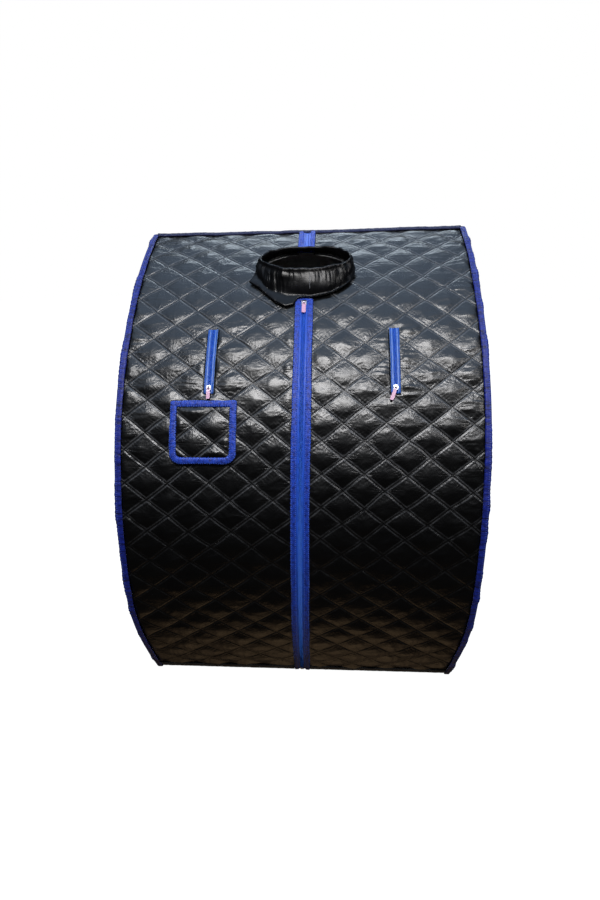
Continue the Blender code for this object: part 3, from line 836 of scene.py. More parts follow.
def front_cloth(side):
    name = SIDE_NAME[side]
    span_u = mirrored_span(side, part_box("zipper_ribbon_right")[1].x - 0.0012, 0.3400)
    middle, _, low_v, high_v = slit_places(side)
    phase = RIGHT_PHASE if side > 0 else LEFT_PHASE
    slit = (abs(middle), (low_v, high_v))
    openings = front_openings(side)
    obj = quilted_wall(f"front_quilt_{name}", span_u, phase, FRONT_STEPS, openings, slit, 11 + side)
    flap_piece(obj, side, SATIN, "quilted_satin", f"front_panel_{name}", f"front_flap_{name}")


def rear_cloth():
    span_u = (-0.3400, 0.3400)
    obj = quilted_wall("rear_quilt", span_u, REAR_PHASE, REAR_STEPS, nowhere, NO_SLIT, 31, rear=True)
    tent_piece(obj, SATIN, "quilted_satin", "rear_panel")


def lens_outline(inset):
    """Inside the side's outline, seen from the side: between the two arcs and above the floor."""
    def outline(y, z):
        front = RADIUS - inset - np.hypot(y - CENTRE_Y, z - CENTRE_Z)
        rear = RADIUS - inset - np.hypot(y + CENTRE_Y, z - CENTRE_Z)
        return np.minimum(np.minimum(front, rear), z - inset - 0.0004)
    return outline


def port_outline():
    low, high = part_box("steam_port_grommet")
    middle_y, middle_z = (low.y + high.y) / 2, (low.z + high.z) / 2

    def outline(y, z):
        return np.hypot(y - middle_y, z - middle_z) - 0.0214
    return outline


def side_piece(side, inset, steps, seed, inner_x, shape, name, surface, slot, node_name):
    """A flat side's cloth. shape gives how far its two faces are from inner_x."""
    outline = lens_outline(inset)
    if side > 0:
        outline = all_outlines(outline, port_outline())
    reach = RADIUS - CENTRE_Y
    y, z, keep, rising = cloth_grid((-reach, reach), (0.0, cad_box[1].z), SIDE_PHASE, steps, outline)
    pillow, inside = pillows(y, z, SIDE_PHASE, seed)
    level, upright = fold_weights(y, z, *NO_SLIT)
    out, inner = shape(y, z, smooth(0.0, 0.016, outline(y, z)), pillow, inside, level, upright)
    outer_points = np.stack([side * (inner_x + np.maximum(out, inner + 0.0012)), y, z], -1)
    inner_points = np.stack([side * (inner_x + inner), y, z], -1)
    quilt = np.stack(quilt_lattice(y, z, SIDE_PHASE), -1)
    folds = np.stack([level, upright], -1)
    uv = np.stack([y, z], -1)
    obj = closed_sheet(name, outer_points, inner_points, uv, keep, rising, side < 0, quilt, folds)
    tent_piece(obj, surface, slot, node_name)


def side_cloths():
    thickness = LINING_OUT - LINING_IN
    for side, name in SIDE_NAME.items():
        def quilted(y, z, sewn, pillow, inside, level, upright, seed=41 + side):
            wrinkle = wall_wrinkles(y, z, seed, level, upright)
            out = 0.0044 + (-0.0010 + 0.0052 * pillow + wrinkle * (0.25 + 0.75 * inside)) * sewn
            return out, 0 * y

        def lining(y, z, sewn, pillow, inside, level, upright, seed=51 + side):
            out = thickness - sewn * 0.0035 * (0.5 + 0.5 * noise(y, z, 0.05, 0.04, seed)) * inside
            return out, out - thickness

        side_piece(side, 0.0086, REAR_STEPS, 41 + side, 0.3406, quilted,
                   f"side_quilt_{name}", SATIN, "quilted_satin", f"side_panel_{name}")
        side_piece(side, 0.0118, 8, 51 + side, 0.3388, lining,
                   f"side_foil_{name}", LINING, "silver_lining", f"side_lining_{name}")


def wall_lining(name, span_u, outline, seed, steps, rear=False):
    span_v = (FLOOR_V + 0.001, TOP_V - 0.001)
    u, v, keep, rising = cloth_grid(span_u, span_v, (0.0, 0.0), steps, outline)
    border = np.minimum(edge_distance(u, v, *span_u, FLOOR_V, TOP_V), outline(u, v))
    slack = smooth(0.0, 0.04, border) * 0.004 * (0.6 + 0.4 * noise(u, v, 0.07, 0.05, seed))
    outer, inner = wrap(u, v, LINING_OUT - slack, rear), wrap(u, v, LINING_IN - slack, rear)
    return closed_sheet(name, outer, inner, np.stack([u, v], -1), keep, rising, flip=rear)


def linings():
    for side, name in SIDE_NAME.items():
        span_u = mirrored_span(side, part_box("zipper_ribbon_right")[1].x + 0.0003, 0.3384)
        obj = wall_lining(f"front_foil_{name}", span_u, front_openings(side), 61 + side, 10)
        flap_piece(obj, side, LINING, "silver_lining", f"front_lining_{name}", f"flap_lining_{name}")
    obj = wall_lining("rear_foil", (-0.3384, 0.3384), nowhere, 71, 8, rear=True)
    tent_piece(obj, LINING, "silver_lining", "rear_lining")


# ---------------------------------------------------------------- ribbons and tapes

def straight(x):
    """An edge of a strip that keeps one x all the way up."""
    return lambda v: np.full_like(v, x)


def wall_strip(name, low_v, high_v, step, columns, inner_x, outer_x, height, under, rear=False):
    """A ribbon up the wall, from its inner to its outer edge. height and under are radii."""
    rows = np.linspace(low_v, high_v, max(int((high_v - low_v) / step), 2) + 1)
    share, v = np.meshgrid(np.linspace(0, 1, columns), rows)
    near, far = inner_x(v), outer_x(v)
    x = near + (far - near) * share
    top = height(share, v)
    bottom = np.minimum(np.full(v.shape, under), top - 0.0004)
    right = bool(np.mean(far - near) > 0)
    outer, inner = wrap(x, v, top, rear), wrap(x, v, bottom, rear)
    return closed_sheet(name, outer, inner, np.stack([share, v], -1), flip=right == rear)


def ribbon_edge(v, seed):
    """The outer edge of a gathered ribbon: a scallop at each pucker, and a slow waver."""
    bite, pitch = 0.0008, 0.008
    scallop = np.abs(np.sin(np.pi * v / pitch + 1.5 * noise(v, v, 0.05, 0.05, seed)))
    return bite * (scallop - 0.5) + 0.0007 * noise(v, 0 * v, 0.045, 1.0, seed + 1)


def ribbon_height(share, v, seed):
    """A ribbon's surface: stitches along its outer edge, puckers across it, and rolled edges."""
    stitch = 0.004
    roll = 1 - (2 * share - 1) ** 6
    sewn = smooth(0.45, 0.8, share) * (1 - smooth(0.93, 1.0, share))
    stitches = 0.00028 * np.cos(2 * np.pi * v / stitch) * sewn
    puckers = 0.00045 * crease(share * 0.010, v, 0.006, 0.0042, seed, 2.0)
    swell = 0.0005 * noise(share * 0.01, v, 0.02, 0.03, seed + 1)
    return TRIM - 0.0012 + 0.0016 * roll + stitches + puckers + swell


def zipper_bands():
    """The long zipper's ribbons and tapes, and the same band sewn shut behind the collar."""
    ribbon_low, ribbon_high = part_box("zipper_ribbon_right")
    tape_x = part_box("zipper_tape_right")[1].x
    top_v = length_at_height(ribbon_high.z) + RADIUS * ZIPPER_RISE
    crown_v = length_at_height(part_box("crown_tape")[0].z) + 0.003
    for side, name in SIDE_NAME.items():
        near = straight(side * (ribbon_low.x - 0.0006))

        def far(v, side=side):
            return side * (ribbon_high.x + 0.0007 + ribbon_edge(v, 81 + side))

        def level(share, v, side=side):
            return ribbon_height(share, v, 81 + side)

        band = (0.00133, 9, near, far, level, QUILT_EDGE + 0.0004)
        obj = wall_strip(f"zipper_band_{name}", FLOOR_V, top_v, *band)
        flap_piece(obj, side, ROYAL, "blue_ribbon", f"zipper_ribbon_{name}")
        obj = wall_strip(f"crown_band_{name}", crown_v, TOP_V, *band)
        tent_piece(obj, ROYAL, "blue_ribbon", f"crown_ribbon_{name}")
        obj = wall_strip(f"zipper_web_{name}", FLOOR_V, top_v, 0.004, 17, straight(side * 0.0003),
                         straight(side * (tape_x + 0.0002)), tape_height, 0.6154)
        flap_piece(obj, side, AZURE, "zipper_tape", f"zipper_tape_{name}")
    obj = wall_strip("crown_web", crown_v, TOP_V, 0.004, 17, straight(-tape_x), straight(tape_x),
                     lambda share, v: tape_height(np.abs(2 * share - 1), v), 0.6156)
    tent_piece(obj, AZURE, "zipper_tape", "crown_tape")


def tape_height(share, v):
    """A tape's surface: the sewn ridge beside the teeth and the cord along its edge."""
    ridges = 0.0007 * np.exp(-(((share - 0.54) / 0.05) ** 2))
    ridges = ridges + 0.0004 * np.exp(-(((share - 0.97) / 0.06) ** 2))
    return 0.6162 + 0.0008 * smooth(0.40, 0.50, share) + ridges + 0.0002 * noise(share, v, 0.2, 0.006, 95)


def coil_shell(x_from, x_to, v, radius, half_v, half_r):
    """One turn of a nylon coil: a rounded bar across the chain."""
    sections = ((0.0, 0.55), (0.12, 1.0), (0.80, 1.0), (1.0, 0.60))
    points = []
    for share, swell in sections:
        x = x_from + (x_to - x_from) * share
        for k in range(6):
            t = 2 * math.pi * k / 6
            points.append((x, v + half_v * swell * math.cos(t), radius + half_r * swell * math.sin(t)))
    return points


COIL_FACES = np.array(
    [(i * 6 + k, i * 6 + (k + 1) % 6, (i + 1) * 6 + (k + 1) % 6) for i in range(3) for k in range(6)]
    + [(i * 6 + k, (i + 1) * 6 + (k + 1) % 6, (i + 1) * 6 + k) for i in range(3) for k in range(6)]
    + [(0, k + 1, k) for k in range(1, 5)] + [(18, 18 + k, 18 + k + 1) for k in range(1, 5)]
)


def coil(name, x_out, x_in, low_v, high_v, pitch, offset, radius, half_r):
    """A row of teeth, sewn to the tape at x_out and reaching between its neighbours at x_in."""
    places = np.arange(low_v + offset * pitch, high_v, pitch)
    shells = [coil_shell(x_out, x_in, v, radius, pitch * 0.21, half_r) for v in places]
    points = np.array(shells).reshape(-1, 3)
    starts = np.arange(len(places))[:, None, None] * 24
    faces = (COIL_FACES[None] + starts).reshape(-1, 3)
    if x_in > x_out:
        faces = faces[:, ::-1]
    return mesh_object(name, wrap(points[:, 0], points[:, 1], points[:, 2]), faces)


def zipper_coils():
    low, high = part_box("zipper_teeth_right")
    low_v, high_v = length_at_height(low.z), length_at_height(high.z) + RADIUS * ZIPPER_RISE - 0.001
    for side, name in SIDE_NAME.items():
        obj = coil(f"zipper_coil_{name}", side * high.x, side * -0.0006, low_v, high_v, 0.0022,
                   0.25 if side > 0 else 0.75, 0.6172, 0.0011)
        flap_piece(obj, side, COIL, "zipper_teeth", f"zipper_teeth_{name}")


def arm_zippers():
    for side, name in SIDE_NAME.items():
        middle, half, low_v, high_v = slit_places(side)
        for place, away in (("outer", side), ("inner", -side)):
            def far(v, away=away, middle=middle, half=half):
                return middle + away * (half + 0.0006 + 0.0004 * noise(v, 0 * v, 0.03, 1, 7))

            obj = wall_strip(f"arm_web_{name}_{place}", low_v + 0.0004, high_v - 0.0004, 0.004, 17,
                             straight(middle + away * 0.0002), far, arm_tape_height, 0.6153)
            tent_piece(obj, ARM_AZURE, "zipper_tape", f"arm_tape_{name}_{place}")
            low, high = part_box(f"arm_teeth_{name}_{place}")
            outer_x = high.x if away > 0 else low.x
            obj = coil(f"arm_coil_{name}_{place}", outer_x, middle - away * 0.0003, low_v + 0.001,
                       high_v - 0.001, 0.0016, 0.25 if away > 0 else 0.75, 0.6169, 0.0008)
            tent_piece(obj, COIL, "zipper_teeth", f"arm_teeth_{name}_{place}")


def arm_tape_height(share, v):
    piping = 0.0019 * np.exp(-(((share - 0.93) / 0.07) ** 2))
    return 0.6162 + 0.0008 * smooth(0.25, 0.35, share) + piping + 0.0002 * noise(share, v, 0.2, 0.006, 96)


def small_tab():
    low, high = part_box("zipper_top_tab")
    low_v = length_at_height(low.z) + RADIUS * ZIPPER_RISE + 0.0003
    obj = wall_strip("collar_tab", low_v, length_at_height(high.z), 0.002, 17, straight(low.x),
                     straight(high.x), lambda share, v: ribbon_height(share, v, 97), QUILT_IN)
    tent_piece(obj, ROYAL, "blue_ribbon", "zipper_top_tab")


def hems():
    """The narrow black tape over the lower edge of the front and the rear."""
    edge = HALF_WIDTH - BINDING_WIDTH - 0.0006
    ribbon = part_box("zipper_ribbon_right")[1].x + 0.0012
    low_v, high_v = FLOOR_V - 0.001, length_at_height(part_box("front_hem_right")[1].z)

    def level(share, v):
        rise = (v - FLOOR_V) / (high_v - FLOOR_V)
        return 0.6176 + 0.0011 * (1 - (2 * rise - 1) ** 4) + 0.0004 * crease(share * 0.3, v, 0.006, 0.02, 98)

    for side, name in SIDE_NAME.items():
        obj = wall_strip(f"hem_tape_{name}", low_v, high_v, 0.0025, 121, straight(side * ribbon),
                         straight(side * edge), level, 0.6160)
        flap_piece(obj, side, BLACK_TAPE, "hem", f"front_hem_{name}")
    obj = wall_strip("hem_tape_rear", low_v, high_v, 0.0025, 221, straight(-edge), straight(edge),
                     level, 0.6160, rear=True)
    tent_piece(obj, BLACK_TAPE, "hem", "rear_hem")


# ---------------------------------------------------------------- the bound edges

def side_path(inset, count=430, floor_count=130):
    """Points round the side: front arc, rear arc, floor. The inset may vary from point to point."""
    inset = np.broadcast_to(inset, (2 * count + floor_count,))
    share = np.linspace(0, 1, count)
    arcs = []
    for first, sign in ((0, 1.0), (count, -1.0)):
        i = inset[first:first + count]
        radius = RADIUS - i
        low, high = np.arcsin((i - CENTRE_Z) / radius), np.arccos(CENTRE_Y / radius)
        along = share if sign > 0 else share[::-1]
        angle = low + (high - low) * along
        across = sign * (CENTRE_Y - radius * np.cos(angle))
        arcs.append(np.stack([across, CENTRE_Z + radius * np.sin(angle)], -1))
    i = inset[2 * count:]
    ends = np.linspace(arcs[1][-1][0], arcs[0][0][0], floor_count + 2)[1:-1]
    return np.concatenate([*arcs, np.stack([ends, i], -1)])


def path_length(points):
    steps = np.linalg.norm(np.diff(points, axis=0), axis=1)
    return np.concatenate([[0.0], np.cumsum(steps)])


def edge_bindings():
    """The ribbon folded round each side's edge: lumpy, and drawn in where it is stitched."""
    half, width, thick = HALF_WIDTH, BINDING_WIDTH, 0.0014
    outside = [(0.0004, width), (0.0, width * 0.75), (-0.0001, width * 0.5), (0.0, width * 0.25),
               (0.0001, 0.0022), (0.0007, 0.0007), (0.0022, 0.0001), (width * 0.25, 0.0),
               (width * 0.5, -0.0001), (width * 0.75, 0.0), (width, 0.0004)]
    inside = [(width, thick + 0.0003), (width * 0.5, thick), (thick * 1.3, thick * 1.3), (thick, width * 0.5),
              (thick + 0.0003, width)]
    along = path_length(side_path(0.0))
    arcs = 2.318  # the length of both arcs; the floor's stretch comes after it
    for side, name in SIDE_NAME.items():
        seed = 101 + 3 * side
        lump = 0.0016 * noise(along, 0 * along, 0.028, 1.0, seed) - 0.0002
        pinch = crease(along, 0 * along, 0.020, 1.0, seed + 1, 6.0)
        wave = 0.00035 * np.cos(2 * np.pi * along / 0.009 + 3 * noise(along, 0 * along, 0.05, 1.0, seed + 2))
        clear = smooth(0.0, 0.05, np.minimum(along, np.abs(along - arcs)))
        clear = np.where(along > arcs, 0.15, 0.15 + 0.85 * clear)
        outward = np.maximum(lump * clear - 0.0008 * pinch + wave * clear, -0.0008)
        rings, uvs = [], []
        for k, (inset, from_side) in enumerate(outside + inside):
            outer = k < len(outside)
            corner = math.exp(-((inset + from_side) / 0.010) ** 2)
            push = outward * ((0.55 + 0.45 * corner) if outer else 0.0)
            path = side_path(inset - push * (from_side > inset * 0.3) if outer else inset)
            x = half - from_side + push * (inset > from_side * 0.3)
            edge_wave = 0.0006 * noise(along, 0 * along + k, 0.02, 1.0, seed + 4) * (from_side == width)
            rings.append(np.stack([side * (x + edge_wave), path[:, 0], path[:, 1]], -1))
            uvs.append(np.stack([np.full(len(along), k / len(outside)), along], -1))
        obj = tube(f"edge_ribbon_{name}", np.array(rings), np.array(uvs), flip=side > 0)
        tent_piece(obj, BINDING_ROYAL, "blue_ribbon", f"edge_binding_{name}")


def top_binding():
    """The ribbon over the seam where the walls meet, with a shallow dip in the middle."""
    low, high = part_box("top_seam_binding")
    x = np.linspace(low.x - 0.003, high.x + 0.003, 420)
    dip = 0.0012 * (1 - (x / high.x) ** 2) + 0.0007 * noise(x, 0 * x, 0.035, 1.0, 111)
    pucker = 0.0005 * crease(x, 0 * x, 0.009, 1.0, 112, 3.0)
    rings, uvs = [], []
    outline = ((-0.0076, -0.0012), (-0.0080, 0.0), (-0.0052, 0.0011), (-0.0020, 0.0020), (0.0, 0.0022),
               (0.0020, 0.0020), (0.0052, 0.0011), (0.0080, 0.0), (0.0076, -0.0012), (0.0, 0.0006))
    for k, (y, lift) in enumerate(outline):
        angle = math.acos((CENTRE_Y + abs(y)) / RADIUS)
        z = CENTRE_Z + RADIUS * math.sin(angle) - 0.0012 + lift
        shift = (pucker - dip) if 1 <= k <= 7 else -dip
        uneven = 0.0003 * noise(x, 0 * x + k, 0.012, 1.0, 113)
        rings.append(np.stack([x, np.full_like(x, y) + uneven, z + shift], -1))
        uvs.append(np.stack([np.full_like(x, k / len(outline)), x], -1))
    obj = tube("top_ribbon", np.array(rings), np.array(uvs), closed_along=False)
    tent_piece(obj, NAVY, "navy_ribbon", "top_seam_binding")


# ---------------------------------------------------------------- collar

def neck_point(t, grow, radius):
    x = (NECK_HALF_WIDTH + grow) * np.cos(t)
    v = NECK_V + (NECK_HALF_LENGTH + grow) * np.sin(t)
    return wrap(x, v, radius)


def rim_point(t, grow, lift):
    """A point on the collar's rim, which lies in a plane that rises to the rear and isn't quite an oval."""
    share = np.cos(t)
    front = np.interp(share, (-1, -0.92, -0.75, -0.47, -0.2, 0.1, 0.5, 0.85, 0.96, 1),
                      (0, 0.20, 0.52, 0.96, 1.0, 0.97, 0.86, 0.55, 0.28, 0))
    shares = (-1, -0.96, -0.85, -0.5, 0, 0.4, 0.8, 0.96, 1)
    rear = np.interp(share, shares, (0, 0.34, 0.62, 0.84, 0.92, 1.0, 0.86, 0.42, 0))
    oval = np.abs(np.sin(t))
    shape = np.where(np.sin(t) < 0, -0.5 * (front + oval), 0.5 * (rear + oval))
    reach = (RIM_HALF_LENGTH + grow) * shape
    up = Vector((0, -math.sin(RIM_TILT), math.cos(RIM_TILT)))
    y = RIM_CENTRE[0] + reach * math.cos(RIM_TILT) + lift * up.y
    z = RIM_CENTRE[1] + reach * math.sin(RIM_TILT) + lift * up.z
    x, y, z = np.broadcast_arrays((RIM_HALF_WIDTH + grow) * share, y, z)
    return np.stack([x, y, z], -1)


def gathers(t, q, seed):
    """Folds that run up the collar, crowded at both ends and sparse at the front."""
    around = t * 0.080 + 0.004 * noise(t * 0.08, t * 0 + q * 0.03, 0.03, 0.012, seed + 2)
    fine = crease(around, around * 0 + q, 0.0040, 1.3, seed, 1.6) - 0.5
    coarse = noise(around, around * 0 + q, 0.0095, 0.9, seed + 1)
    crowded = 0.35 + 0.65 * smooth(0.25, 0.65, np.abs(np.cos(t + 0.1)))
    return (fine + 0.9 * coarse) * crowded


def skirt_point(t, grow, radius, share):
    """The collar's foot, spread over the wall where its slack cloth hangs on the left of the door."""
    marks = math.pi + np.array((0, 0.15, 0.33, 0.52, 0.75, 0.95, 1.2, 1.36, 1.45, 1.571))
    across = np.interp(t, marks, np.array((0, -4, -17, -4, -2, 0, 0, 0, 0, 0)) * MM)
    down = np.interp(t, marks, np.array((0, 6, 7, 10, 14, 22, 27, 19, 3, 0)) * MM)
    x = (NECK_HALF_WIDTH + grow) * np.cos(t) + across * share
    v = NECK_V + (NECK_HALF_LENGTH + grow) * np.sin(t) - down * share
    return wrap(x, v, radius)


def moved_out(ring, t, amount):
    """The ring pushed away from its own middle, in its level plane."""
    way = np.stack([np.cos(t), 0.6 * np.sin(t), 0 * t], -1)
    way /= np.linalg.norm(way, axis=1, keepdims=True)
    return ring + way * np.asarray(amount)[..., None]


def collar():
    """The gathered band: its inner face, the rim rolled over the elastic, the outer face, and its foot."""
    count = 640
    t = np.linspace(0, 2 * np.pi, count, endpoint=False)
    front = smooth(0.4, -0.6, np.sin(t))
    waver = 0.0012 * noise(t * 0.08, 0 * t, 0.011, 1, 122) + 0.0006 * gathers(t, 1.0, 121)
    inner_foot = neck_point(t, -0.0004, 0.6195)
    rings = [neck_point(t, 0.0002, QUILT_EDGE - 0.001), inner_foot]
    for q in (0.2, 0.4, 0.6, 0.8, 0.93):
        inner = inner_foot * (1 - q) + rim_point(t, -0.0020, -0.003) * q
        rings.append(moved_out(inner, t, 0.0015 * q * gathers(t, q, 121)))
    roll = ((-0.0018, 0.0008), (-0.0008, 0.0034), (0.0010, 0.0045), (0.0030, 0.0036), (0.0042, 0.0006))
    for grow, lift in roll:
        rings.append(moved_out(rim_point(t, grow, lift + waver), t, 0.0015 * gathers(t, 1.0, 121)))
    foot = neck_point(t, 0.0030, 0.6225)
    for q in (0.93, 0.86, 0.78, 0.70, 0.61, 0.52, 0.43, 0.34, 0.25, 0.16, 0.08):
        wall = foot * (1 - q) + rim_point(t, 0.0042, 0.0) * q
        belly = (0.0005 + 0.0022 * front) * math.sin(math.pi * q)
        sag = 0.0026 * noise(t * 0.08, t * 0 + q * 0.035, 0.026, 0.011, 123)
        sag = sag * math.sin(math.pi * min(q + 0.2, 1))
        rings.append(moved_out(wall, t, belly + sag + 0.0026 * (0.35 + 0.65 * q) * gathers(t, q, 121)))
    ripple = 0.0010 * noise(t * 0.08, 0 * t, 0.009, 1.0, 124) + 0.0005 * gathers(t, 0.1, 121)
    rings.append(skirt_point(t, 0.0036, 0.6232 + ripple, 0.10))
    for share, radius in ((0.35, 0.6246), (0.6, 0.6240), (0.85, 0.6236), (1.0, 0.6226), (1.0, 0.6208)):
        rings.append(skirt_point(t, 0.0040 + 0.0006 * share, radius + ripple * (radius > 0.622), share))
    rings.append(skirt_point(t, 0.0032, 0.6200, 0.3))
    rings.append(neck_point(t, 0.0016, QUILT_EDGE + 0.0006))
    u, w = np.meshgrid(t * 0.080, np.arange(len(rings)) * 0.0035)
    obj = tube("gathered_collar", np.array(rings), np.stack([u, w], -1), flip=True)
    tent_piece(obj, COLLAR_SATIN, "collar_satin", "neck_collar")


def collar_elastic():
    """The elastic in the rim's casing: a flat band drawn into waves."""
    t = np.linspace(0, 2 * np.pi, 360, endpoint=False)
    section = ((-0.0004, -0.0012), (0.0004, -0.0012), (0.0006, 0.0),
               (0.0004, 0.0012), (-0.0004, 0.0012), (-0.0006, 0.0))
    bumps = 0.0011 + 0.0003 * np.cos(52 * t)
    rings = np.array([rim_point(t, bumps + out, 0.0014 + up) for out, up in section])
    obj = tube("collar_casing", rings)
    tent_piece(obj, ELASTIC, "elastic", "collar_elastic")


def collar_seam():
    """The pale thread that closes the collar's band at the front."""
    t = np.linspace(-1.471, -1.464, 2)
    rows = np.linspace(0.30, 0.80, 9)
    foot = neck_point(t, 0.0030, 0.6225)
    across = [0.0, 0.0010]
    outer, inner = [], []
    for q in rows:
        wall = foot * (1 - q) + rim_point(t, 0.0042, 0.0) * q
        out = 0.0027 * math.sin(math.pi * q) + 0.0014
        outer.append(moved_out(wall, t, np.full(2, out)))
        inner.append(moved_out(wall, t, np.full(2, out - 0.0012)))
    uv = np.stack(np.meshgrid(across, rows * 0.03), -1)
    obj = closed_sheet("collar_thread", np.array(outer), np.array(inner), uv)
    obj.data.materials.append(PALE_THREAD)
    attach(obj, "tent")


# ---------------------------------------------------------------- pocket

def pocket():
    low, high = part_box("pocket_binding")
    low_v, high_v = length_at_height(low.z) - 0.007, length_at_height(high.z)
    band, corner = 0.0125, 0.022
    middle_u, middle_v = (low.x + high.x) / 2 + 0.001, (low_v + high_v) / 2
    half_u, half_v = (high.x - low.x) / 2 + 0.001, (high_v - low_v) / 2
    seed = 131
    count = 520
    path, normals = rounded_path(half_u, half_v, corner, count)
    along = path_length(np.concatenate([path, path[:1]]))[:-1]
    waver = 0.0007 * noise(along, 0 * along, 0.014, 1.0, seed)
    scallop = 0.0009 * np.abs(np.sin(np.pi * along / 0.0065))
    base, top = 0.6205, 0.6246
    rings, uvs = [], []
    section = ((0.0, base), (0.0002, base + 0.0022), (0.0016, top), (band * 0.35, top + 0.0005),
               (band * 0.65, top + 0.0004), (band - 0.0010, top - 0.0002), (band, top - 0.0016),
               (band * 0.6, base))
    for k, (inset, radius) in enumerate(section):
        inner_side = smooth(0.5, 1.0, inset / band)
        shift = inset - waver * (1 - inner_side) + scallop * inner_side
        place = path - normals * shift[:, None]
        puckers = crease(along, 0 * along + inset * 0.5, 0.0045, 0.01, seed + 1, 2.0)
        puckers = 0.0006 * puckers * (radius > base)
        x, v = middle_u + place[:, 0], middle_v + place[:, 1]
        rings.append(wrap(x, v, radius + puckers))
        uvs.append(np.stack([np.full(count, inset / band), along], -1))
    obj = tube("pocket_ribbon", np.array(rings), np.array(uvs))
    tent_piece(obj, ROYAL, "blue_ribbon", "pocket_binding")
    pocket_cloth(middle_u, middle_v, half_u - band + 0.002, half_v - band + 0.002)


def rounded_path(half_u, half_v, corner, count):
    """An outline with square upper corners and round lower ones, running anticlockwise, and its normals."""
    pieces, corners = [], ((1, -1, corner), (1, 1, 0.004), (-1, 1, 0.004), (-1, -1, corner))
    for k, (sx, sy, radius) in enumerate(corners):
        start = (-0.5 + 0.5 * k) * math.pi
        turn = np.linspace(start, start + math.pi / 2, 24)
        centre = np.array([sx * (half_u - radius), sy * (half_v - radius)])
        pieces.append(centre + radius * np.stack([np.cos(turn), np.sin(turn)], -1))
    corner_points = np.concatenate(pieces + [pieces[0][:1]])
    length = path_length(corner_points)
    places = np.linspace(0, length[-1], count, endpoint=False)
    path = np.stack([np.interp(places, length, corner_points[:, i]) for i in (0, 1)], -1)
    tangent = np.roll(path, -1, axis=0) - np.roll(path, 1, axis=0)
    tangent /= np.linalg.norm(tangent, axis=1, keepdims=True)
    return path, np.stack([tangent[:, 1], -tangent[:, 0]], -1)


def pocket_cloth(middle_u, middle_v, half_u, half_v):
    seed, phase = 141, (-0.2012, 0.6508)
    span_u, span_v = (middle_u - half_u, middle_u + half_u), (middle_v - half_v, middle_v + half_v)
    u, v, keep, rising = cloth_grid(span_u, span_v, phase, FRONT_STEPS)
    border = edge_distance(u, v, *span_u, *span_v)
    sewn = smooth(0.0, 0.012, border)
    height, inside = pillows(u, v, phase, seed)
    side_pull = 1 - smooth(0.006, 0.030, border)
    level = crease(u, v, 0.030, 0.0075, seed, 2.0) - 0.45
    upright = crease(u, v, 0.0075, 0.030, seed + 1, 2.0) - 0.45
    at_side = np.minimum(u - span_u[0], span_u[1] - u) < np.minimum(v - span_v[0], span_v[1] - v)
    pulled = np.where(at_side, level, upright) * side_pull + 0.6 * noise(u, v, 0.02, 0.02, seed + 2)
    radius = 0.6222 + (0.0042 * height + 0.0012 * pulled * (0.3 + 0.7 * inside)) * sewn
    quilt, folds = np.stack(quilt_lattice(u, v, phase), -1), np.stack([side_pull, side_pull], -1)
    uv = np.stack([u, v], -1)
    obj = closed_sheet("pocket_quilt", wrap(u, v, radius), wrap(u, v, 0.6206), uv, keep, rising,
                       quilt=quilt, folds=folds)
    tent_piece(obj, SATIN, "quilted_satin", "pocket_panel")


# ---------------------------------------------------------------- sliders, pulls, port, mat, frame

def ring_faces(rings, count):
    """Triangles between rings of count points each, with a fan over each end. Rings wind the same way."""
    faces = []
    for i in range(rings - 1):
        for k in range(count):
            a, b = i * count + k, i * count + (k + 1) % count
            faces += [(a, b, b + count), (a, b + count, a + count)]
    last = (rings - 1) * count
    faces += [(0, k + 1, k) for k in range(1, count - 1)]
    faces += [(last, last + k, last + k + 1) for k in range(1, count - 1)]
    return faces


def slab(outline, low, high, place, bevel=0.0004):
    """A closed plate from an outline of (across, along) points, between two heights, with rounded edges."""
    outline = np.array(outline)
    middle = outline.mean(0)
    drawn_in = 1 - bevel * 180
    rings = []
    for share, level in ((drawn_in, low), (1.0, low + bevel), (1.0, high - bevel), (drawn_in, high)):
        ring = middle + (outline - middle) * share
        rings.append([place(a, level, b) for a, b in ring])
    return np.array(rings).reshape(-1, 3), ring_faces(4, len(outline))


def superellipse(half_a, half_b, power=3.0, count=32, taper=0.0):
    """Points round a rounded rectangle that is wider towards its upper end by its taper."""
    points = []
    for turn in np.linspace(0, 2 * math.pi, count, endpoint=False):
        c, s = math.cos(turn), math.sin(turn)
        a = half_a * math.copysign(abs(c) ** (2 / power), c)
        b = half_b * math.copysign(abs(s) ** (2 / power), s)
        points.append((a * (1 + taper * b / half_b), b))
    return points


def local_frame(x, angle):
    """A function that places (across, radius, along) near a point of the front wall."""
    normal = np.array((0, -math.cos(angle), math.sin(angle)))
    up = np.array((0, math.sin(angle), math.cos(angle)))
    origin = np.array((x, CENTRE_Y, CENTRE_Z))

    def place(across, radius, along):
        return origin + np.array((across, 0, 0)) + normal * radius + up * along
    return place


def arch(place, half, low, high, thick, reach):
    """The slider's bridge that holds the pull."""
    turns = np.linspace(math.pi, 0, 13)
    rings = []
    for t in turns:
        outer = (low + (high - low) * math.sin(t), reach * math.cos(t))
        inner = (low + (high - low - thick) * math.sin(t), (reach - thick) * math.cos(t))
        rings.append([place(-half, *outer), place(half, *outer), place(half, *inner), place(-half, *inner)])
    return np.array(rings).reshape(-1, 3), ring_faces(len(turns), 4)


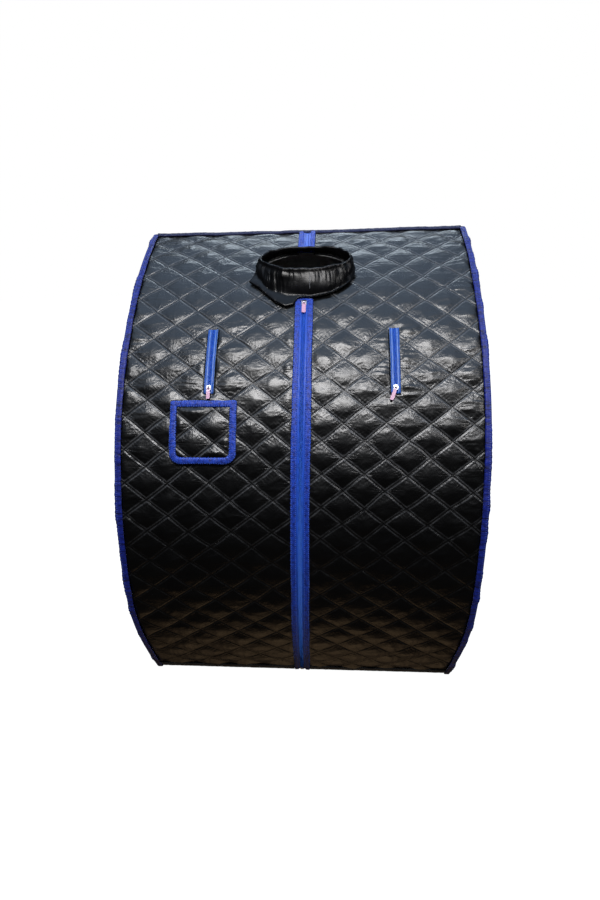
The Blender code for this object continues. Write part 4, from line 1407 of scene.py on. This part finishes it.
def slider_and_pull(name, half_width, half_length, shortest_pull, lean, rise=0.0):
    """A zipper slider with its bridge, and the enamelled tab that hangs from it, leaning by this angle."""
    low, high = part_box(f"{name}_slider")
    place = local_frame((low.x + high.x) / 2, slider_angle(name) + rise)
    top, under, plate = 0.6188, 0.6148, 0.0015
    cover = superellipse(half_width, half_length, 3.2, 40, 0.16)
    post = superellipse(0.0009, 0.0016, 2.0, 16)
    flange = superellipse(0.0005, half_length * 0.86, 4.0, 16)
    shells = [
        slab(cover, top, top + plate, place),
        slab(cover, under - plate, under, place),
        slab(post, under, top, lambda a, r, b: place(a, r, b + 0.0048), 0.0001),
        arch(place, 0.0012, top + 0.0012, top + 0.0052, 0.0011, 0.0034),
    ]
    for shift in (0.0007 - half_width, half_width - 0.0007):
        shells.append(slab(flange, top - 0.0012, top + 0.0002,
                           lambda a, r, b, shift=shift: place(a + shift, r, b), 0.0001))
    obj = joined(f"{name}_slider_body", shells)
    obj.data.set_sharp_from_angle(angle=math.radians(40))
    finish_piece(obj, CHROME, "slider_metal", f"{name}_slider")
    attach(obj, f"{name}_slider")
    hanging_tab(name, place, top + 0.0034, shortest_pull, lean)


def hanging_tab(name, place, pivot, shortest, lean):
    """The pull: a flat tab round an oval hole, which hangs from the slider's bridge."""
    low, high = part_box(f"{name}_pull")
    half = (high.x - low.x) / 2
    length = min(max((high - low).length - 0.006, shortest), 0.027)
    ring_half, hole_along, thick = half * 0.80, 0.0024, 0.0007
    turn_cos, turn_sin = math.cos(lean), math.sin(lean)
    outer = rounded_tab(ring_half, half, 0.0016, -length)
    hole = [(a, b - hole_along) for a, b in superellipse(ring_half - 0.0012, hole_along, 2.6, len(outer))]
    loops = []
    for outline, level in ((outer, thick), (outer, -thick), (hole, -thick), (hole, thick)):
        loops.append([place(a * turn_cos + b * turn_sin, pivot + level, b * turn_cos - a * turn_sin)
                      for a, b in outline])
    obj = tube(f"{name}_pull_tab", np.array(loops))
    obj.data.set_sharp_from_angle(angle=math.radians(40))
    finish_piece(obj, PINK, "pull", f"{name}_pull")
    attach(obj, f"{name}_pull")


def rounded_tab(neck_half, tab_half, top, bottom, count=36):
    """The tab's outline, narrow at its ring and wider below, running anticlockwise from the right."""
    points = []
    for a, b in superellipse(1.0, (top - bottom) / 2, 7, count):
        b += (top + bottom) / 2
        points.append((a * (neck_half + (tab_half - neck_half) * float(smooth(-0.004, -0.008, b))), b))
    return points


def slider_angle(name):
    """The slider's own angle on the arc, from the middle of its length."""
    mesh = frame["nodes"][f"{name}_slider"].data
    points = np.array([v.co for v in mesh.vertices])
    angles = np.arctan2(points[:, 2] - CENTRE_Z, CENTRE_Y - points[:, 1])
    return float((angles.min() + angles.max()) / 2)


def port_ring(label, section):
    """A rubber ring of the steam port, from a closed section of (radius, x) points."""
    low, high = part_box("steam_port_grommet")
    turn = np.linspace(0, 2 * np.pi, 72, endpoint=False)
    y, z = (low.y + high.y) / 2, (low.z + high.z) / 2
    rings = np.array([
        np.stack([np.full_like(turn, x), y + r * np.cos(turn), z + r * np.sin(turn)], -1) for r, x in section
    ])
    obj = tube(f"port_{label}", rings)
    obj.data.set_sharp_from_angle(angle=math.radians(50))
    tent_piece(obj, RUBBER, "port_rubber", f"steam_port_{label}")


def steam_port():
    """The grommet through the right side, with a groove in its flange, and the washer behind it."""
    bore, flange, barrel, hole = 0.0175, 0.0280, 0.0206, 0.0211
    low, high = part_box("steam_port_grommet")
    back, face = low.x, high.x
    port_ring("grommet", [
        (bore, back + 0.0004), (bore, face - 0.0012), (bore + 0.0006, face - 0.0003), (bore + 0.0016, face),
        (bore + 0.0032, face), (bore + 0.0040, face - 0.0005), (flange - 0.0024, face - 0.0005),
        (flange - 0.0014, face), (flange - 0.0005, face), (flange, face - 0.0004), (flange, face - 0.0014),
        (barrel, face - 0.0014), (barrel, back),
    ])
    low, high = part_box("steam_port_washer")
    back, face = low.x, high.x
    port_ring("washer", [
        (hole, back + 0.0003), (hole, face), (flange, face), (flange, back + 0.0006), (flange - 0.0006, back),
        (hole + 0.0004, back),
    ])


def floor_mat():
    low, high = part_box("floor_mat")
    cell, steps = 0.084, 14
    columns = np.linspace(low.x, high.x, 8 * steps + 1)
    rows = np.linspace(low.y, high.y, 6 * steps + 1)
    x, y = np.meshgrid(columns, rows)
    s, t = np.mod(x - low.x, cell) / cell, np.mod(y - low.y, cell) / cell
    dome = np.clip(16 * s * (1 - s) * t * (1 - t), 0, 1) ** 0.35
    edge = smooth(0.0, 0.012, edge_distance(x, y, low.x, high.x, low.y, high.y))
    top = 0.0020 + 0.0046 * dome * edge + 0.0014 * (1 - edge) + 0.0005 * noise(x, y, 0.02, 0.02, 151) * edge
    outer = np.stack([x, y, top], -1)
    inner = np.stack([x, y, 0 * x + 0.0001], -1)
    obj = closed_sheet("floor_pad", outer, inner, np.stack([x, y], -1))
    tent_piece(obj, MAT_CLOTH, "mat_cloth", "floor_mat")


def hoops():
    """The spring-steel hoops in the bound edges, as round wire."""
    along = np.linspace(0, 2 * np.pi, 12, endpoint=False)
    for side, name in SIDE_NAME.items():
        low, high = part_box(f"hoop_{name}")
        middle, radius = (low.x + high.x) / 2, (high.x - low.x) / 2
        inset = low.z + radius
        rings = []
        for turn in along:
            path = side_path(inset + radius * math.sin(turn), 260, 60)
            x = np.full(len(path), middle + radius * math.cos(turn))
            rings.append(np.stack([x, path[:, 0], path[:, 1]], -1))
        obj = tube(f"hoop_wire_{name}", np.array(rings), flip=True)
        tent_piece(obj, STEEL, "spring_steel", f"hoop_{name}")


def kept_nodes():
    """The frame's nodes that show as they are get their own finish."""
    for name in ("zipper_insertion_pin", "zipper_retainer_box"):
        frame["nodes"][name].data.materials[0] = CHROME


make_camera()
make_world()
make_stage()
make_lights()
for hand in SIDE_NAME:
    front_cloth(hand)
rear_cloth()
side_cloths()
linings()
zipper_bands()
zipper_coils()
arm_zippers()
small_tab()
hems()
edge_bindings()
top_binding()
collar_elastic()
collar()
collar_seam()
pocket()
slider_and_pull("main", 0.0055, 0.0070, 0.026, 0.0, ZIPPER_RISE)
slider_and_pull("left_arm", 0.0042, 0.0054, 0.022, 0.0)
slider_and_pull("right_arm", 0.0042, 0.0054, 0.026, math.radians(20))
steam_port()
floor_mat()
hoops()
kept_nodes()

bpy.context.scene.view_settings.view_transform = "Standard"
